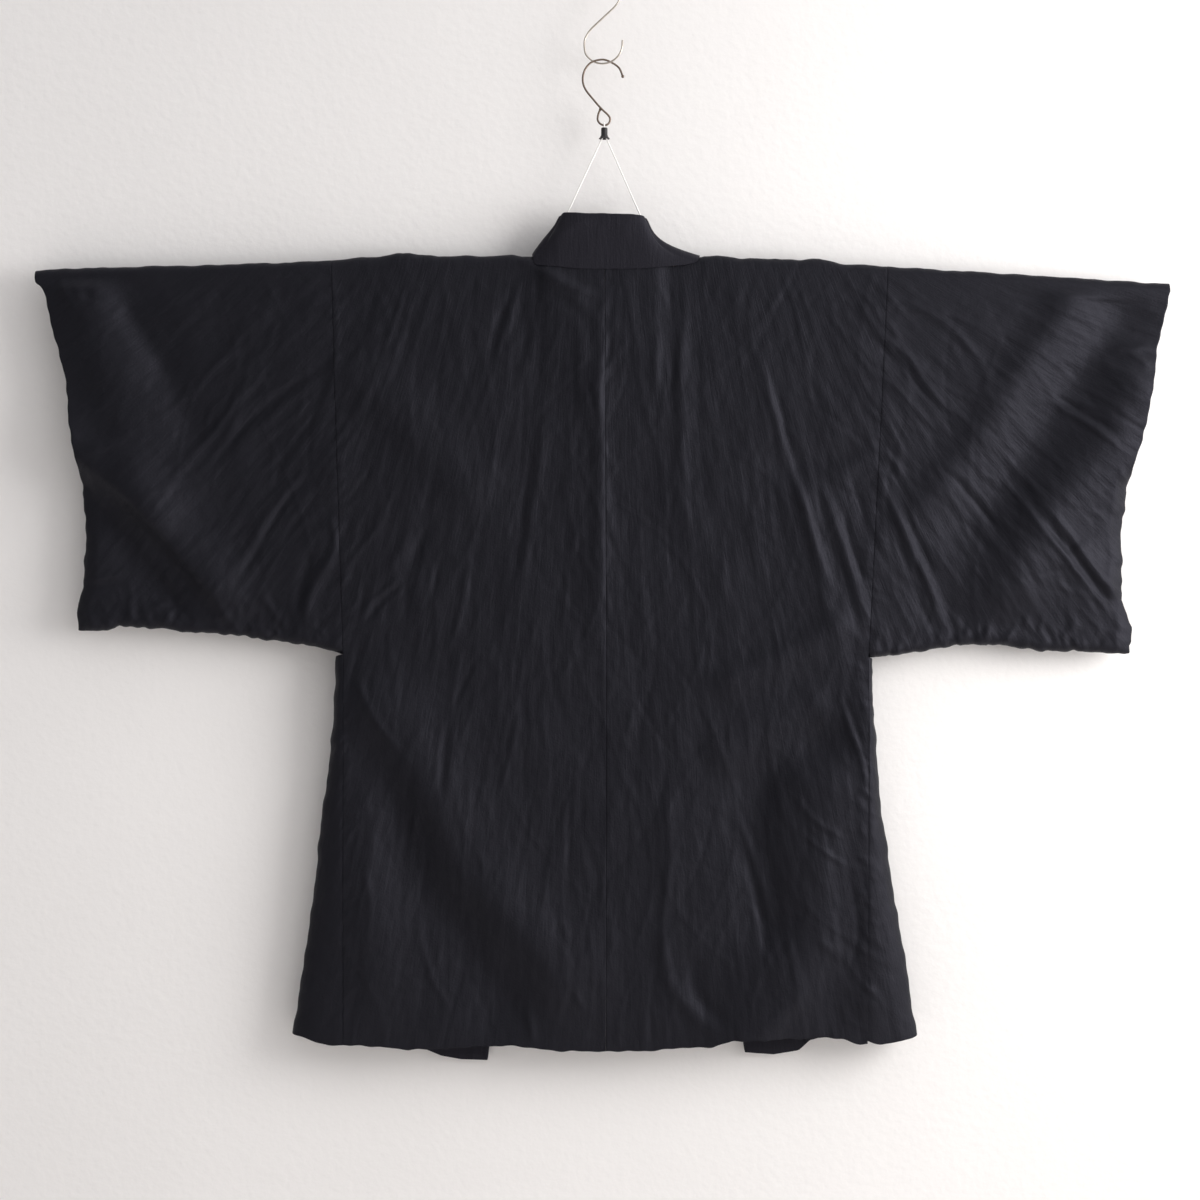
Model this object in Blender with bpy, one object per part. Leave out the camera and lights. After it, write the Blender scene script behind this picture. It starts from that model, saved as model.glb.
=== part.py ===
"""A plain black haori jacket, spread flat along the rod of a kimono hanger that hangs in a wire S-hook.

Metres, Z up. The back of the jacket faces -Y and its fronts face +Y. The origin is under the upper crown of
the S-hook, where a rail carries it. Tables and sizes are in millimetres. "Left" is the side of the wearer's
left arm, which is -X. A depth is a distance from the plane of the rod, y = 0, to the middle of the cloth.
"""

from collections import namedtuple
from math import cos, pi, radians, sin

import bpy
import numpy as np

MM = 0.001
CLOTH_WALL = 2.0  # body, sleeves and gussets, which are two layers of cloth in a lined haori
COLLAR_WALL = 1.8
SEAM_GAP = 0.3

ROD_RADIUS = 6.0
ROD_HALF_LENGTH = 618.0
ROD_MIDDLE_Z = -323.5
ROD_DROP = {-1: 17.0, 1: 32.0}  # how far each end of the bowed rod hangs, 630 mm out
ROD_DROP_POWER = 1.35
OVER_ROD = ROD_RADIUS + 0.5 + CLOTH_WALL / 2  # depth of the cloth where it lies on the rod

NECK_COLUMNS, SHOULDER_COLUMNS = 3, 9  # from the centre back seam to the neck, and on to the side
BACK_ROWS, FRONT_ROWS = (16, 16), (9, 6)  # above and below the armpit
SLEEVE_ROWS = 14
SLEEVE_COLUMNS = (0, 0.08, 0.16, 0.25, 0.34, 0.43, 0.52, 0.61, 0.7, 0.79, 0.88, 0.97, 1)
ARC_STEPS = 6  # the cloth's half turn over the rod
SLEEVE_FOOT = 7.0  # height of the half turn under a sleeve
CUFF_STOP_Z = -575.0  # below this the cuff is sewn shut
GUSSET_ROWS = 14
GUSSET_PLACES = (
    ("back", 0), ("back", 0.35), ("back", 0.7), ("back", 0.92), ("back", 1), ("front", 0.7), ("front", 0),
)  # fmt: skip
GUSSET_LEAST = 6.0  # its width under the armpit
ARMPIT_Z = {-1: -760.5, 1: -763.5}

NECK_HALF = {-1: 77.0, 1: 90.0}
NECK_EASE = 4.0  # the back neck stands this much clear of the cloth on the rod
NECK_DIP = 2.0  # and its edge lies this much below the middle of the rod

# The outline of the jacket, as (distance from the centre, height) or (height, distance from the centre).
CENTRE_SEAM = ((-324, 1.5), (-760, 3.5), (-1198, 3.0))
SIDE_SEAM = {
    -1: ((-328, 302.0), (-760.5, 288.5), (-1200, 288.0)),
    1: ((-330, 316.0), (-763.5, 294.0), (-1200, 292.7)),
}
FRONT_SIDE_SEAM = {-1: ((-760.5, 288.5), (-1185, 320.0)), 1: ((-763.5, 294.0), (-1185, 321.0))}
SIDE_FOLD = {
    -1: ((-764, 298), (-831, 299.5), (-915, 309.5), (-1032, 324), (-1099, 333), (-1149, 340.5), (-1180, 345.5)),
    1: ((-764, 302), (-831, 302), (-932, 309.5), (-1032, 325), (-1082, 334), (-1149, 344), (-1182, 349.5)),
}
BACK_HEM = {
    -1: (
        (0, -1197.6), (48, -1197.6), (70, -1195.4), (115, -1191), (226, -1196), (248, -1193),
        (293, -1191), (315, -1188.7), (345, -1180),
    ),
    1: (
        (0, -1197.6), (41, -1197.6), (86, -1194.2), (130, -1192), (153, -1185.3), (264, -1182),
        (286, -1184.2), (308, -1189.8), (331, -1187.6), (350, -1182),
    ),
}
FRONT_HEM = {
    -1: ((130, -1213), (159, -1212), (181, -1208), (206, -1197.5), (226, -1190.5), (337, -1179)),
    1: ((160, -1204.3), (191, -1206.5), (219, -1202), (233, -1190), (286, -1180), (350, -1180)),
}
FRONT_EDGE = {-1: ((-324, 77), (-1213, 201)), 1: ((-324, 90), (-1206, 227))}
SLEEVE_BOTTOM = {
    -1: (
        (289, -760), (301, -755), (331, -747), (360, -743.8), (382, -740), (404, -736.8),
        (448, -734.6), (493, -729), (538, -726.8), (560, -732), (583, -732),
    ),
    1: (
        (294, -763), (353, -755.7), (375, -750), (420, -745.7), (442, -746.8), (486, -753.5),
        (531, -753.5), (575, -756.8),
    ),
}
CUFF = {
    -1: (
        (-346, 631), (-364, 621), (-397, 612), (-447, 596.6), (-514, 589), (-564, 579), (-606, 574.4),
        (-648, 575), (-684, 577), (-702, 582), (-731, 584),
    ),
    1: (
        (-353, 631), (-381, 624), (-431, 613), (-456, 610), (-490, 603), (-520, 597.5), (-540, 590),
        (-564, 584.3), (-614, 576.5), (-698, 576.5), (-712, 581), (-729, 588.5), (-745, 586), (-755, 579),
    ),
}
TOP_LIFT = (  # the cloth bunches up off the rod here, as (x, height)
    (-640, 1), (-560, 0.5), (-480, 0), (-320, 0), (-262, 3), (-226, 6), (-190, 2.5), (-120, 1.5),
    (-101, 3), (-90, 0), (90, 0), (128, 3), (150, 1), (219, 3), (240, 5), (264, 1), (300, 0), (640, 0),
)  # fmt: skip

# A soft ridge (height over 0) or trough (under 0) of the back, from one end to the other.
Fold = namedtuple("Fold", "x0 z0 x1 z1 width height")
BACK_FOLDS = [
    Fold(-562, -350, -425, -599, 22, 4.0),
    Fold(-425, -599, -398, -680, 20, 3.5),
    Fold(-571, -553, -433, -724, 17, -3.0),
    Fold(-275, -416, -134, -558, 24, 3.0),
    Fold(-85, -345, -18, -391, 17, -3.0),
    Fold(-18, -391, -9, -474, 17, -3.0),
    Fold(-290, -770, -184, -973, 19, -4.0),
    Fold(-184, -973, -51, -1122, 19, -4.0),
    Fold(-258, -815, -68, -1072, 20, 3.5),
    Fold(-6, -474, -6, -740, 18, 2.5),
    Fold(86, -350, 90, -657, 18, 2.5),
    Fold(215, -565, 265, -740, 17, 3.0),
    Fold(124, -774, 273, -740, 18, 3.0),
    Fold(124, -873, 248, -815, 18, 3.0),
    Fold(256, -856, 181, -906, 18, -4.0),
    Fold(181, -906, 215, -1072, 18, -4.0),
    Fold(74, -1031, 116, -1172, 17, 3.0),
    Fold(181, -1146, 273, -990, 19, 3.5),
    Fold(539, -366, 332, -616, 23, 4.0),
    Fold(622, -380, 464, -607, 22, -3.0),
    Fold(464, -607, 373, -707, 20, -3.0),
    Fold(514, -357, 364, -558, 18, -3.0),
    Fold(572, -574, 440, -724, 20, 4.0),
]
FRONT_FOLDS = [
    Fold(-250, -420, -240, -1100, 24, 3.0),
    Fold(262, -420, 285, -1120, 24, 3.0),
    Fold(-560, -380, -400, -680, 24, 3.0),
    Fold(560, -390, 400, -690, 24, 3.0),
]

# Half of the collar from the middle of the back neck over the shoulder, as points of its three long lines:
# the seam, the fold along its top and the free edge. Heights are over the middle of the rod.
NeckRow = namedtuple("NeckRow", "seam_x seam_y seam_h fold_x fold_y fold_h edge_x edge_y edge_h")
NECK_ROWS = [
    NeckRow(0.0, -11.5, -1.6, 0.0, -14.9, 54.5, 0.0, -16.2, -7.0),
    NeckRow(25.0, -11.5, -1.6, 20.0, -14.9, 55.0, 29.0, -16.2, -6.6),
    NeckRow(48.0, -11.5, -1.3, 36.0, -14.0, 55.0, 54.0, -16.0, -3.6),
    NeckRow(64.5, -9.8, -0.2, 43.0, -9.5, 52.5, 69.0, -14.6, 0.5),
    NeckRow(75.2, -7.8, 1.2, 46.0, -6.0, 50.5, 76.5, -11.8, 4.0),
    NeckRow(75.3, -5.6, 5.6, 47.6, -3.5, 48.5, 77.5, -7.0, 9.4),
    NeckRow(75.4, 0.0, 8.1, 47.8, 1.5, 46.5, 78.0, 0.0, 11.4),
    NeckRow(75.8, 6.0, 5.6, 45.0, 7.5, 42.5, 78.5, 9.0, 6.4),
    NeckRow(76.0, 8.2, -2.0, 39.0, 11.5, 32.0, 80.0, 11.2, -3.4),
    NeckRow(79.0, 8.6, -20.0, 30.0, 12.0, -2.0, 83.0, 12.2, -21.5),
]
COLLAR_FRONT_ROWS = 11
COLLAR_FRONT_START = 45.0  # under the rod, where the collar has come to lie flat on the front
COLLAR_WIDTH = {-1: (57.5, 71.0), 1: (63.0, 66.5)}  # below the shoulder and at the hem
COLLAR_COVERS = 4.5  # how far the free edge reaches past the seam on the fronts
COLLAR_BEND = 1.4  # radius of its fold, at the middle of the cloth

STRING_RADIUS = 0.9
STRING_X = 62.0  # where each string is wound on the rod
STRING_MIDDLE_X = 1.5
EYE_FOOT_Z = -169.6
FERRULE = ((3.2, -172.4), (3.6, -173.2), (3.6, -182.0), (6.4, -187.2), (5.4, -187.4), (2.9, -183.6))
HOOK_RADIUS, S_HOOK_RADIUS = 1.1, 1.0
HOOK_TURN, S_HOOK_TURN = radians(9), radians(-9)  # about the vertical, so that the two wires pass each other
# Middle of each wire, as (x, z). The third column is how far it stands in front of or behind its plane.
HOOK_WIRE = (
    (22.3, -114.6, 0), (18.4, -105.7, 0), (11.1, -100.2, 0), (0.0, -96.5, 0), (-13.0, -100.0, 0),
    (-20.6, -109.0, 0), (-22.8, -120.2, 0), (-19.8, -130.2, 0), (-11.3, -140.8, 0), (-2.4, -150.9, -0.6),
    (5.4, -158.0, -0.6), (8.1, -162.6, 0), (6.3, -167.6, 0), (1.8, -169.6, 0), (-3.0, -168.0, 0.3),
    (-5.8, -163.6, 1.0), (-4.9, -156.9, 1.7), (-2.6, -151.6, 2.2),
)  # fmt: skip
S_HOOK_BEND = 22.1  # radius of both bends, at the middle of the wire
S_HOOK_LOWER_Z, S_HOOK_UPPER_Z = -78.9, -21.1  # centres of the bends
S_HOOK_TURNS = (160, 183, 206, 229, 252, 275, 298, 321, 344, 367)  # degrees round the lower bend

BLACK_CLOTH = (0.150, 0.148, 0.166)
COLLAR_CLOTH = (0.146, 0.142, 0.156)
PALE_WOOD = (0.70, 0.58, 0.42)
WHITE_STRING = (0.90, 0.88, 0.85)
BLACK_FERRULE = (0.16, 0.14, 0.15)
BROWN_WIRE = (0.42, 0.37, 0.34)
BRIGHT_WIRE = (0.58, 0.53, 0.49)


def smooth(t):
    t = min(max(t, 0.0), 1.0)
    return t * t * (3 - 2 * t)


def between(a, b, t):
    return a + (b - a) * t


def read(table, at):
    """The value of a two-column table at a place. The tables run either way."""
    rows = sorted(table)
    return float(np.interp(at, [row[0] for row in rows], [row[1] for row in rows]))


def rod_z(x):
    return ROD_MIDDLE_Z - ROD_DROP[1 if x > 0 else -1] * (abs(x) / 630) ** ROD_DROP_POWER


def fold_height(folds, x, z):
    total = 0.0
    for fold in folds:
        along = np.array([fold.x1 - fold.x0, fold.z1 - fold.z0])
        length = float(np.linalg.norm(along))
        along = along / length
        reach = np.array([x - fold.x0, z - fold.z0])
        where = float(reach @ along)
        beyond = max(-where, where - length, 0.0)
        across = abs(reach[0] * along[1] - reach[1] * along[0])
        total += fold.height * np.exp(-((across / fold.width) ** 2) - (beyond / (1.6 * fold.width)) ** 2)
    return total


def sleeve_share(side, x, z):
    """0 at the armhole and on the body, rising to 1 well into the sleeve."""
    if z < ARMPIT_Z[side] - 1:
        return 0.0
    return smooth((abs(x) - read(SIDE_SEAM[side], z)) / 90)


def depth(side, x, z, folds, back):
    """How far the back, or a front, stands from the plane of the rod."""
    below = rod_z(x) - z
    on_body = OVER_ROD + 5.5 * smooth(below / 170) + 4.5 * smooth((below - 350) / 520)
    bottom = below / (rod_z(x) - read(SLEEVE_BOTTOM[side], abs(x)))
    in_sleeve = OVER_ROD + 3.5 * smooth(below / 150) - 4.0 * smooth((bottom - 0.72) / 0.28)
    share = sleeve_share(side, x, z)
    value = between(on_body, in_sleeve, share)
    if back:
        value += NECK_EASE * (1 - smooth((abs(x) - 56) / 20)) * (1 - smooth(below / 200))
    near_foot = 1 - share * smooth((bottom - 0.9) / 0.1)
    return value + fold_height(folds, x, z) * smooth((below - 12) / 35) * near_foot


def back_y(side, x, z):
    return -depth(side, x, z, BACK_FOLDS, True)


def front_y(side, x, z):
    return depth(side, x, z, FRONT_FOLDS, False)


def at_row(row, rows, top, middle, bottom):
    """The height of a row, with rows[0] rows down to the middle and rows[1] more to the bottom."""
    if row <= rows[0]:
        return between(top, middle, row / rows[0])
    return between(middle, bottom, (row - rows[0]) / rows[1])


def over_rod(x, angle):
    """The cloth's half turn over the rod: angle 0 is on the front side, pi on the back side."""
    lift = read(TOP_LIFT, x)
    return x, OVER_ROD * cos(angle), rod_z(x) + (OVER_ROD + lift) * sin(angle)


class Sheet:
    """An open sheet of quads through the middle of the cloth. Its faces look away from the wearer."""

    def __init__(self):
        self.points = []
        self.faces = []
        self.square = {}  # point to the axes that its wall must be square to, at a seam or a hem

    def add(self, point, square=""):
        self.points.append(point)
        self.square[len(self.points) - 1] = square
        return len(self.points) - 1

    def strip(self, rows, turned=False):
        """Faces between neighbouring rows of point numbers."""
        for row, after in zip(rows, rows[1:]):
            for k in range(len(row) - 1):
                face = [row[k], row[k + 1], after[k + 1], after[k]]
                self.faces.append(face[::-1] if turned else face)

    def solid(self, name, wall, material):
        """The sheet made into a closed wall, half its thickness to each side."""
        points = np.array(self.points)
        normals = np.zeros_like(points)
        for face in self.faces:
            a, b, c, d = points[face]
            area = np.cross(c - a, d - b)
            normals[face] += area
        for n, square in self.square.items():
            for axis in square:
                normals[n]["XYZ".index(axis)] = 0
        normals /= np.linalg.norm(normals, axis=1)[:, None]
        both = np.concatenate([points + normals * wall / 2, points - normals * wall / 2])
        count = len(points)
        faces = [tuple(face) for face in self.faces]
        faces += [tuple(n + count for n in face[::-1]) for face in self.faces]
        edges = {}
        for face in self.faces:
            for a, b in zip(face, face[1:] + face[:1]):
                edges[a, b] = True
        for a, b in edges:
            if (b, a) not in edges:
                faces.append((b, a, a + count, b + count))
        return make_object(name, both, faces, material)


def linear(colour):
    return [c / 12.92 if c <= 0.04045 else ((c + 0.055) / 1.055) ** 2.4 for c in colour]


def finish(name, colour, roughness, metallic=0.0):
    material = bpy.data.materials.new(name)
    material.use_nodes = True
    shader = material.node_tree.nodes["Principled BSDF"]
    shader.inputs["Base Color"].default_value = (*linear(colour), 1)
    shader.inputs["Roughness"].default_value = roughness
    shader.inputs["Metallic"].default_value = metallic
    material.diffuse_color = (*linear(colour), 1)
    return material


def make_object(name, points, faces, material):
    mesh = bpy.data.meshes.new(name)
    mesh.from_pydata([tuple(point * MM) for point in np.asarray(points, float)], [], faces)
    mesh.materials.append(material)
    made = bpy.data.objects.new(name, mesh)
    bpy.context.scene.collection.objects.link(made)
    return made


def make_body(side, name, material):
    """One length of cloth from back hem over the shoulder to front hem, with half of the neck cut out."""
    sheet = Sheet()
    neck = NECK_HALF[side]
    side_top = read(SIDE_SEAM[side], ROD_MIDDLE_Z)
    across = [neck / side_top * j / NECK_COLUMNS for j in range(NECK_COLUMNS)]
    across += [between(neck / side_top, 1, j / SHOULDER_COLUMNS) for j in range(SHOULDER_COLUMNS + 1)]
    last = len(across) - 1

    def back_point(column, row):
        guess = side * side_top * across[column]
        z = at_row(row, BACK_ROWS, rod_z(guess), ARMPIT_Z[side], read(BACK_HEM[side], abs(guess)))
        if row == 0 and column < NECK_COLUMNS:
            z -= NECK_DIP
        centre = read(CENTRE_SEAM, z) + side * SEAM_GAP / 2
        seam = side * (read(SIDE_SEAM[side], z) - SEAM_GAP / 2)
        x = between(centre, seam, across[column])
        return x, back_y(side, x, z), z

    def front_point(column, row):
        share = (across[column] - across[NECK_COLUMNS]) / (1 - across[NECK_COLUMNS])
        guess = side * between(neck, side_top, share)
        hem_guess = between(read(FRONT_EDGE[side], -1200), read(FRONT_SIDE_SEAM[side], -1200), share)
        hem = read(FRONT_HEM[side], hem_guess)
        z = at_row(row, FRONT_ROWS, rod_z(guess), ARMPIT_Z[side], hem)
        outer = SIDE_SEAM if row <= FRONT_ROWS[0] else FRONT_SIDE_SEAM
        x = side * between(read(FRONT_EDGE[side], z), read(outer[side], z) - SEAM_GAP / 2, share)
        return x, front_y(side, x, z), z

    back = []
    for row in range(sum(BACK_ROWS) + 1):
        line = []
        for column in range(last + 1):
            square = "X" * (column in (0, last)) + "Z" * (row == sum(BACK_ROWS))
            if row == 0 and column <= NECK_COLUMNS:
                square = "XZ" if column == NECK_COLUMNS else "Z" + square
            line.append(sheet.add(back_point(column, row), square))
        back.append(line)
    over = [back[0][NECK_COLUMNS:]]
    for step in range(1, ARC_STEPS):
        line = []
        for column in range(NECK_COLUMNS, last + 1):
            x = between(back_point(column, 0)[0], front_point(column, 0)[0], step / ARC_STEPS)
            square = "X" * (column in (NECK_COLUMNS, last))
            line.append(sheet.add(over_rod(x, pi * (1 - step / ARC_STEPS)), square))
        over.append(line)
    for row in range(sum(FRONT_ROWS) + 1):
        line = []
        for column in range(NECK_COLUMNS, last + 1):
            square = "X" * (column in (NECK_COLUMNS, last)) + "Z" * (row == sum(FRONT_ROWS))
            line.append(sheet.add(front_point(column, row), square))
        over.append(line)
    sheet.strip(back, turned=side > 0)
    sheet.strip(over, turned=side < 0)
    return sheet.solid(name, CLOTH_WALL, material)


def make_sleeve(side, name, material):
    """A flat tube round the rod, open along the armhole. The cuff is open down to where it is sewn shut."""
    sheet = Sheet()
    places = [("arc", pi / 2 * k / 3) for k in range(3)]
    places += [("wall", k / SLEEVE_ROWS) for k in range(SLEEVE_ROWS + 1)]
    places += [("foot", pi / 2 * k / 2) for k in range(1, 3)]
    last = len(places) - 1

    def point(across, place, back):
        kind, value = place
        down = {"arc": 0.0, "foot": 1.0}.get(kind, value)
        x = side * between(302, 585, across)
        for _ in range(3):
            foot = read(SLEEVE_BOTTOM[side], abs(x)) + SLEEVE_FOOT + CLOTH_WALL / 2
            z = between(rod_z(x), foot, down)
            near = read(SIDE_SEAM[side], z) + SEAM_GAP / 2
            x = side * between(near, read(CUFF[side], z), across)
        if kind == "arc":
            return over_rod(x, pi / 2 + value if back else pi / 2 - value)
        y = back_y(side, x, z) if back else front_y(side, x, z)
        if kind == "foot":
            return x, y * cos(value), z - SLEEVE_FOOT * sin(value)
        return x, y, z

    rings = []
    for across in SLEEVE_COLUMNS:
        back, front = [], []
        for k, place in enumerate(places):
            spot = point(across, place, True)
            sewn = across == 1 and spot[2] < CUFF_STOP_Z
            if sewn:
                spot = (spot[0], 0.0, spot[2])
            square = "X" * (across in (0, 1) and not sewn)
            back.append(sheet.add(spot, square))
            if k in (0, last):
                continue
            front.append(back[-1] if sewn else sheet.add(point(across, place, False), square))
        rings.append(back + front[::-1] + back[:1])
    sheet.strip(rings, turned=side < 0)
    return sheet.solid(name, CLOTH_WALL, material)


def make_gusset(side, name, material):
    """A narrow strip down the side. It runs on from the back, folds along the outline and meets the front."""
    sheet = Sheet()
    lines = []
    for row in range(GUSSET_ROWS + 1):
        line = []
        for face, share in GUSSET_PLACES:
            seam = SIDE_SEAM if face == "back" else FRONT_SIDE_SEAM
            hem = BACK_HEM if face == "back" or share == 1 else FRONT_HEM
            hem_x = between(read(seam[side], -1185), read(SIDE_FOLD[side], -1182), share)
            z = between(ARMPIT_Z[side] - SEAM_GAP, read(hem[side], hem_x), row / GUSSET_ROWS)
            inner = read(seam[side], z) + SEAM_GAP / 2
            outer = max(read(SIDE_FOLD[side], z) - CLOTH_WALL / 2, read(SIDE_SEAM[side], z) + GUSSET_LEAST)
            x = side * between(inner, outer, share)
            reach = back_y(side, side * inner, z) if face == "back" else front_y(side, side * inner, z)
            power = 3 if face == "back" else 2
            square = "X" * (share == 0) + "Z" * (row in (0, GUSSET_ROWS))
            line.append(sheet.add((x, reach * (1 - share**power) ** 0.5, z), square))
        lines.append(line)
    sheet.strip(lines)
    return sheet.solid(name, CLOTH_WALL, material)


def collar_sections(side):
    """The collar's sections from the back neck to one front hem, each from seam to fold to free edge."""
    scale = NECK_HALF[side] / NECK_HALF[-1]
    lines = []
    for row in NECK_ROWS:
        low = between(1, scale, smooth((48 - row.fold_h) / 40))
        seam = np.array([side * row.seam_x * scale, row.seam_y, row.seam_h])
        fold = np.array([side * row.fold_x * low, row.fold_y, row.fold_h])
        edge = np.array([side * row.edge_x * scale, row.edge_y, row.edge_h])
        for spot in (seam, fold, edge):
            spot[2] += rod_z(spot[0])
        lines.append((seam, fold, edge))
    sections = []
    for k, (seam, fold, edge) in enumerate(lines):
        before = lines[k - 1][1] if k else fold * (-1, 1, 1) - (side, 0, 0)
        after = lines[min(k + 1, len(lines) - 1)][1]
        up = fold - (seam + edge) / 2
        up /= np.linalg.norm(up)
        out = np.cross(up, after - before)
        out *= np.sign(out @ (edge - seam)) / np.linalg.norm(out)
        if k == 0:
            out = np.array([0.0, -1.0, 0.0])
        inside = fold - COLLAR_BEND * (up + out)
        outside = fold - COLLAR_BEND * (up - out)
        section = [between(seam, inside, t) for t in (0, 0.33, 0.67, 1)]
        section += [fold] + [between(outside, edge, t) for t in (0, 0.33, 0.67, 1)]
        sections.append(section)
    for row in range(COLLAR_FRONT_ROWS + 1):
        down = row / COLLAR_FRONT_ROWS
        width = between(*COLLAR_WIDTH[side], down)
        bend = COLLAR_BEND / width
        places = [(0, 0), (0.33, 0), (0.67, 0), (1 - bend, 0.1), (1, 1.5), (1 - bend, 2.9)]
        places += [(0.67, 3.1), (0.33, 3.2), (-COLLAR_COVERS / width, 3.3)]
        section = []
        for share, out in places:
            x = side * (between(90, 200, down) - width * share)
            for _ in range(3):
                z = between(rod_z(0) - COLLAR_FRONT_START, read(FRONT_HEM[side], abs(x)), down)
                x = side * (read(FRONT_EDGE[side], z) - 0.4 - width * share)
            section.append(np.array([x, front_y(side, x, z) + out, z]))
        sections.append(section)
    return sections


def make_collar(name, material):
    """One long band, folded in half outwards: up round the back neck and down both fronts to the hem."""
    left, right = collar_sections(-1), collar_sections(1)
    sections = left[:0:-1] + right
    sheet = Sheet()
    lines = []
    for k, section in enumerate(sections):
        square = "Z" * (k in (0, len(sections) - 1))
        lines.append([sheet.add(tuple(point), square) for point in section])
    sheet.strip(lines)
    return sheet.solid(name, COLLAR_WALL, material)


def curve_through(spots, steps):
    """Points along a smooth curve through the given ones."""
    spots = [np.array(spot, float) for spot in spots]
    ends = [2 * spots[0] - spots[1]] + spots + [2 * spots[-1] - spots[-2]]
    path = []
    for p0, p1, p2, p3 in zip(ends, ends[1:], ends[2:], ends[3:]):
        for k in range(steps):
            t = k / steps
            bend = (2 * p0 - 5 * p1 + 4 * p2 - p3) * t**2 + (3 * p1 - p0 - 3 * p2 + p3) * t**3
            path.append(0.5 * (2 * p1 + (p2 - p0) * t + bend))
    path.append(spots[-1])
    return path


def make_wire(name, path, radius, sides, material):
    """A round wire or string along a path, with flat ends."""
    path = np.array(path, float)
    along = np.gradient(path, axis=0)
    along /= np.linalg.norm(along, axis=1)[:, None]
    first = np.cross(along[0], (0, 1, 0.01))
    points, faces = [], []
    for spot, way in zip(path, along):
        first = first - (first @ way) * way
        first /= np.linalg.norm(first)
        second = np.cross(way, first)
        for k in range(sides):
            turn = 2 * pi * k / sides
            points.append(spot + radius * (cos(turn) * first + sin(turn) * second))
    for ring in range(len(path) - 1):
        for k in range(sides):
            a, b = ring * sides + k, ring * sides + (k + 1) % sides
            faces.append((a, b, b + sides, a + sides))
    faces.append(tuple(reversed(range(sides))))
    faces.append(tuple(range(len(points) - sides, len(points))))
    return make_object(name, points, faces, material)


def make_rod(name, material):
    path = [(x, 0, rod_z(x)) for x in np.linspace(-ROD_HALF_LENGTH, ROD_HALF_LENGTH, 27)]
    return make_wire(name, path, ROD_RADIUS, 10, material)


def make_string(side, name, material):
    """Half of the hanger's string: taut from inside the ferrule to the rod, then once round it."""
    around = ROD_RADIUS + SEAM_GAP + STRING_RADIUS
    x = side * STRING_X
    top = (x, 0, rod_z(x) + around + 1.2)
    start = (STRING_MIDDLE_X + side * 1.6, 0, FERRULE[-1][1] - 0.8)
    bend = (STRING_MIDDLE_X + side * 4.4, 0, -188.6)
    path = [start, bend, tuple(between(np.array(bend), np.array(top), 0.5)), top]
    turns = 10
    for k in range(1, turns + 1):
        turn = pi / 2 - 2 * pi * k / (turns + 0.6)
        shifted = x + side * 2.3 * k / turns
        path.append((shifted, around * cos(turn), rod_z(x) + around * sin(turn)))
    return make_wire(name, path, STRING_RADIUS, 6, material)


def make_bight(name, material):
    """The middle of the string, over the foot of the hook's eye and down to the ferrule."""
    around = HOOK_RADIUS + SEAM_GAP + STRING_RADIUS
    foot = FERRULE[0][1] + SEAM_GAP
    path = [(STRING_MIDDLE_X, -around, foot)]
    for k in range(7):
        turn = pi * k / 6
        path.append((STRING_MIDDLE_X, -around * cos(turn), EYE_FOOT_Z + around * sin(turn)))
    path.append((STRING_MIDDLE_X, around, foot))
    return make_wire(name, path, STRING_RADIUS, 6, material)


def make_ferrule(name, material):
    """A turned cap with a flared, notched foot that opens downwards."""
    sides = 12
    points, faces = [(STRING_MIDDLE_X, 0, FERRULE[0][1])], []
    for r, z in FERRULE:
        for k in range(sides):
            reach = r * (0.88 if r > 5 and k % 2 else 1)
            turn = 2 * pi * k / sides
            points.append((STRING_MIDDLE_X + reach * cos(turn), reach * sin(turn), z))
    points.append((STRING_MIDDLE_X, 0, FERRULE[-1][1]))
    for k in range(sides):
        after = (k + 1) % sides
        faces.append((0, 1 + k, 1 + after))
        for ring in range(len(FERRULE) - 1):
            a = 1 + ring * sides
            faces.append((a + k, a + sides + k, a + sides + after, a + after))
        a = 1 + (len(FERRULE) - 1) * sides
        faces.append((a + k, len(points) - 1, a + after))
    return make_object(name, points, faces, material)


def turned(spots, angle, about_x):
    """A flat path of (x, z, out) rows, turned about a vertical line."""
    path = []
    for x, z, out in spots:
        reach = x - about_x
        path.append((about_x + reach * cos(angle) - out * sin(angle), reach * sin(angle) + out * cos(angle), z))
    return path


def make_hook(name, material):
    """The hanger's hook: round bend above, straight shank, and an eye closed on itself below."""
    path = curve_through(turned(HOOK_WIRE, HOOK_TURN, 0), 2)
    return make_wire(name, path, HOOK_RADIUS, 8, material)


def make_s_hook(name, material):
    """Two open bends that mirror each other through the middle of the S."""
    middle = (S_HOOK_LOWER_Z + S_HOOK_UPPER_Z) / 2
    half = [(0.0, middle, 0)]
    for turn in map(radians, S_HOOK_TURNS):
        half.append((S_HOOK_BEND * cos(turn), S_HOOK_LOWER_Z + S_HOOK_BEND * sin(turn), 0))
    other = [(-x, 2 * middle - z, 0) for x, z, _ in half[:0:-1]]
    path = curve_through(turned(other + half, S_HOOK_TURN, 0), 2)
    return make_wire(name, path, S_HOOK_RADIUS, 8, material)


for thing in list(bpy.data.objects):
    bpy.data.objects.remove(thing)

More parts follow.
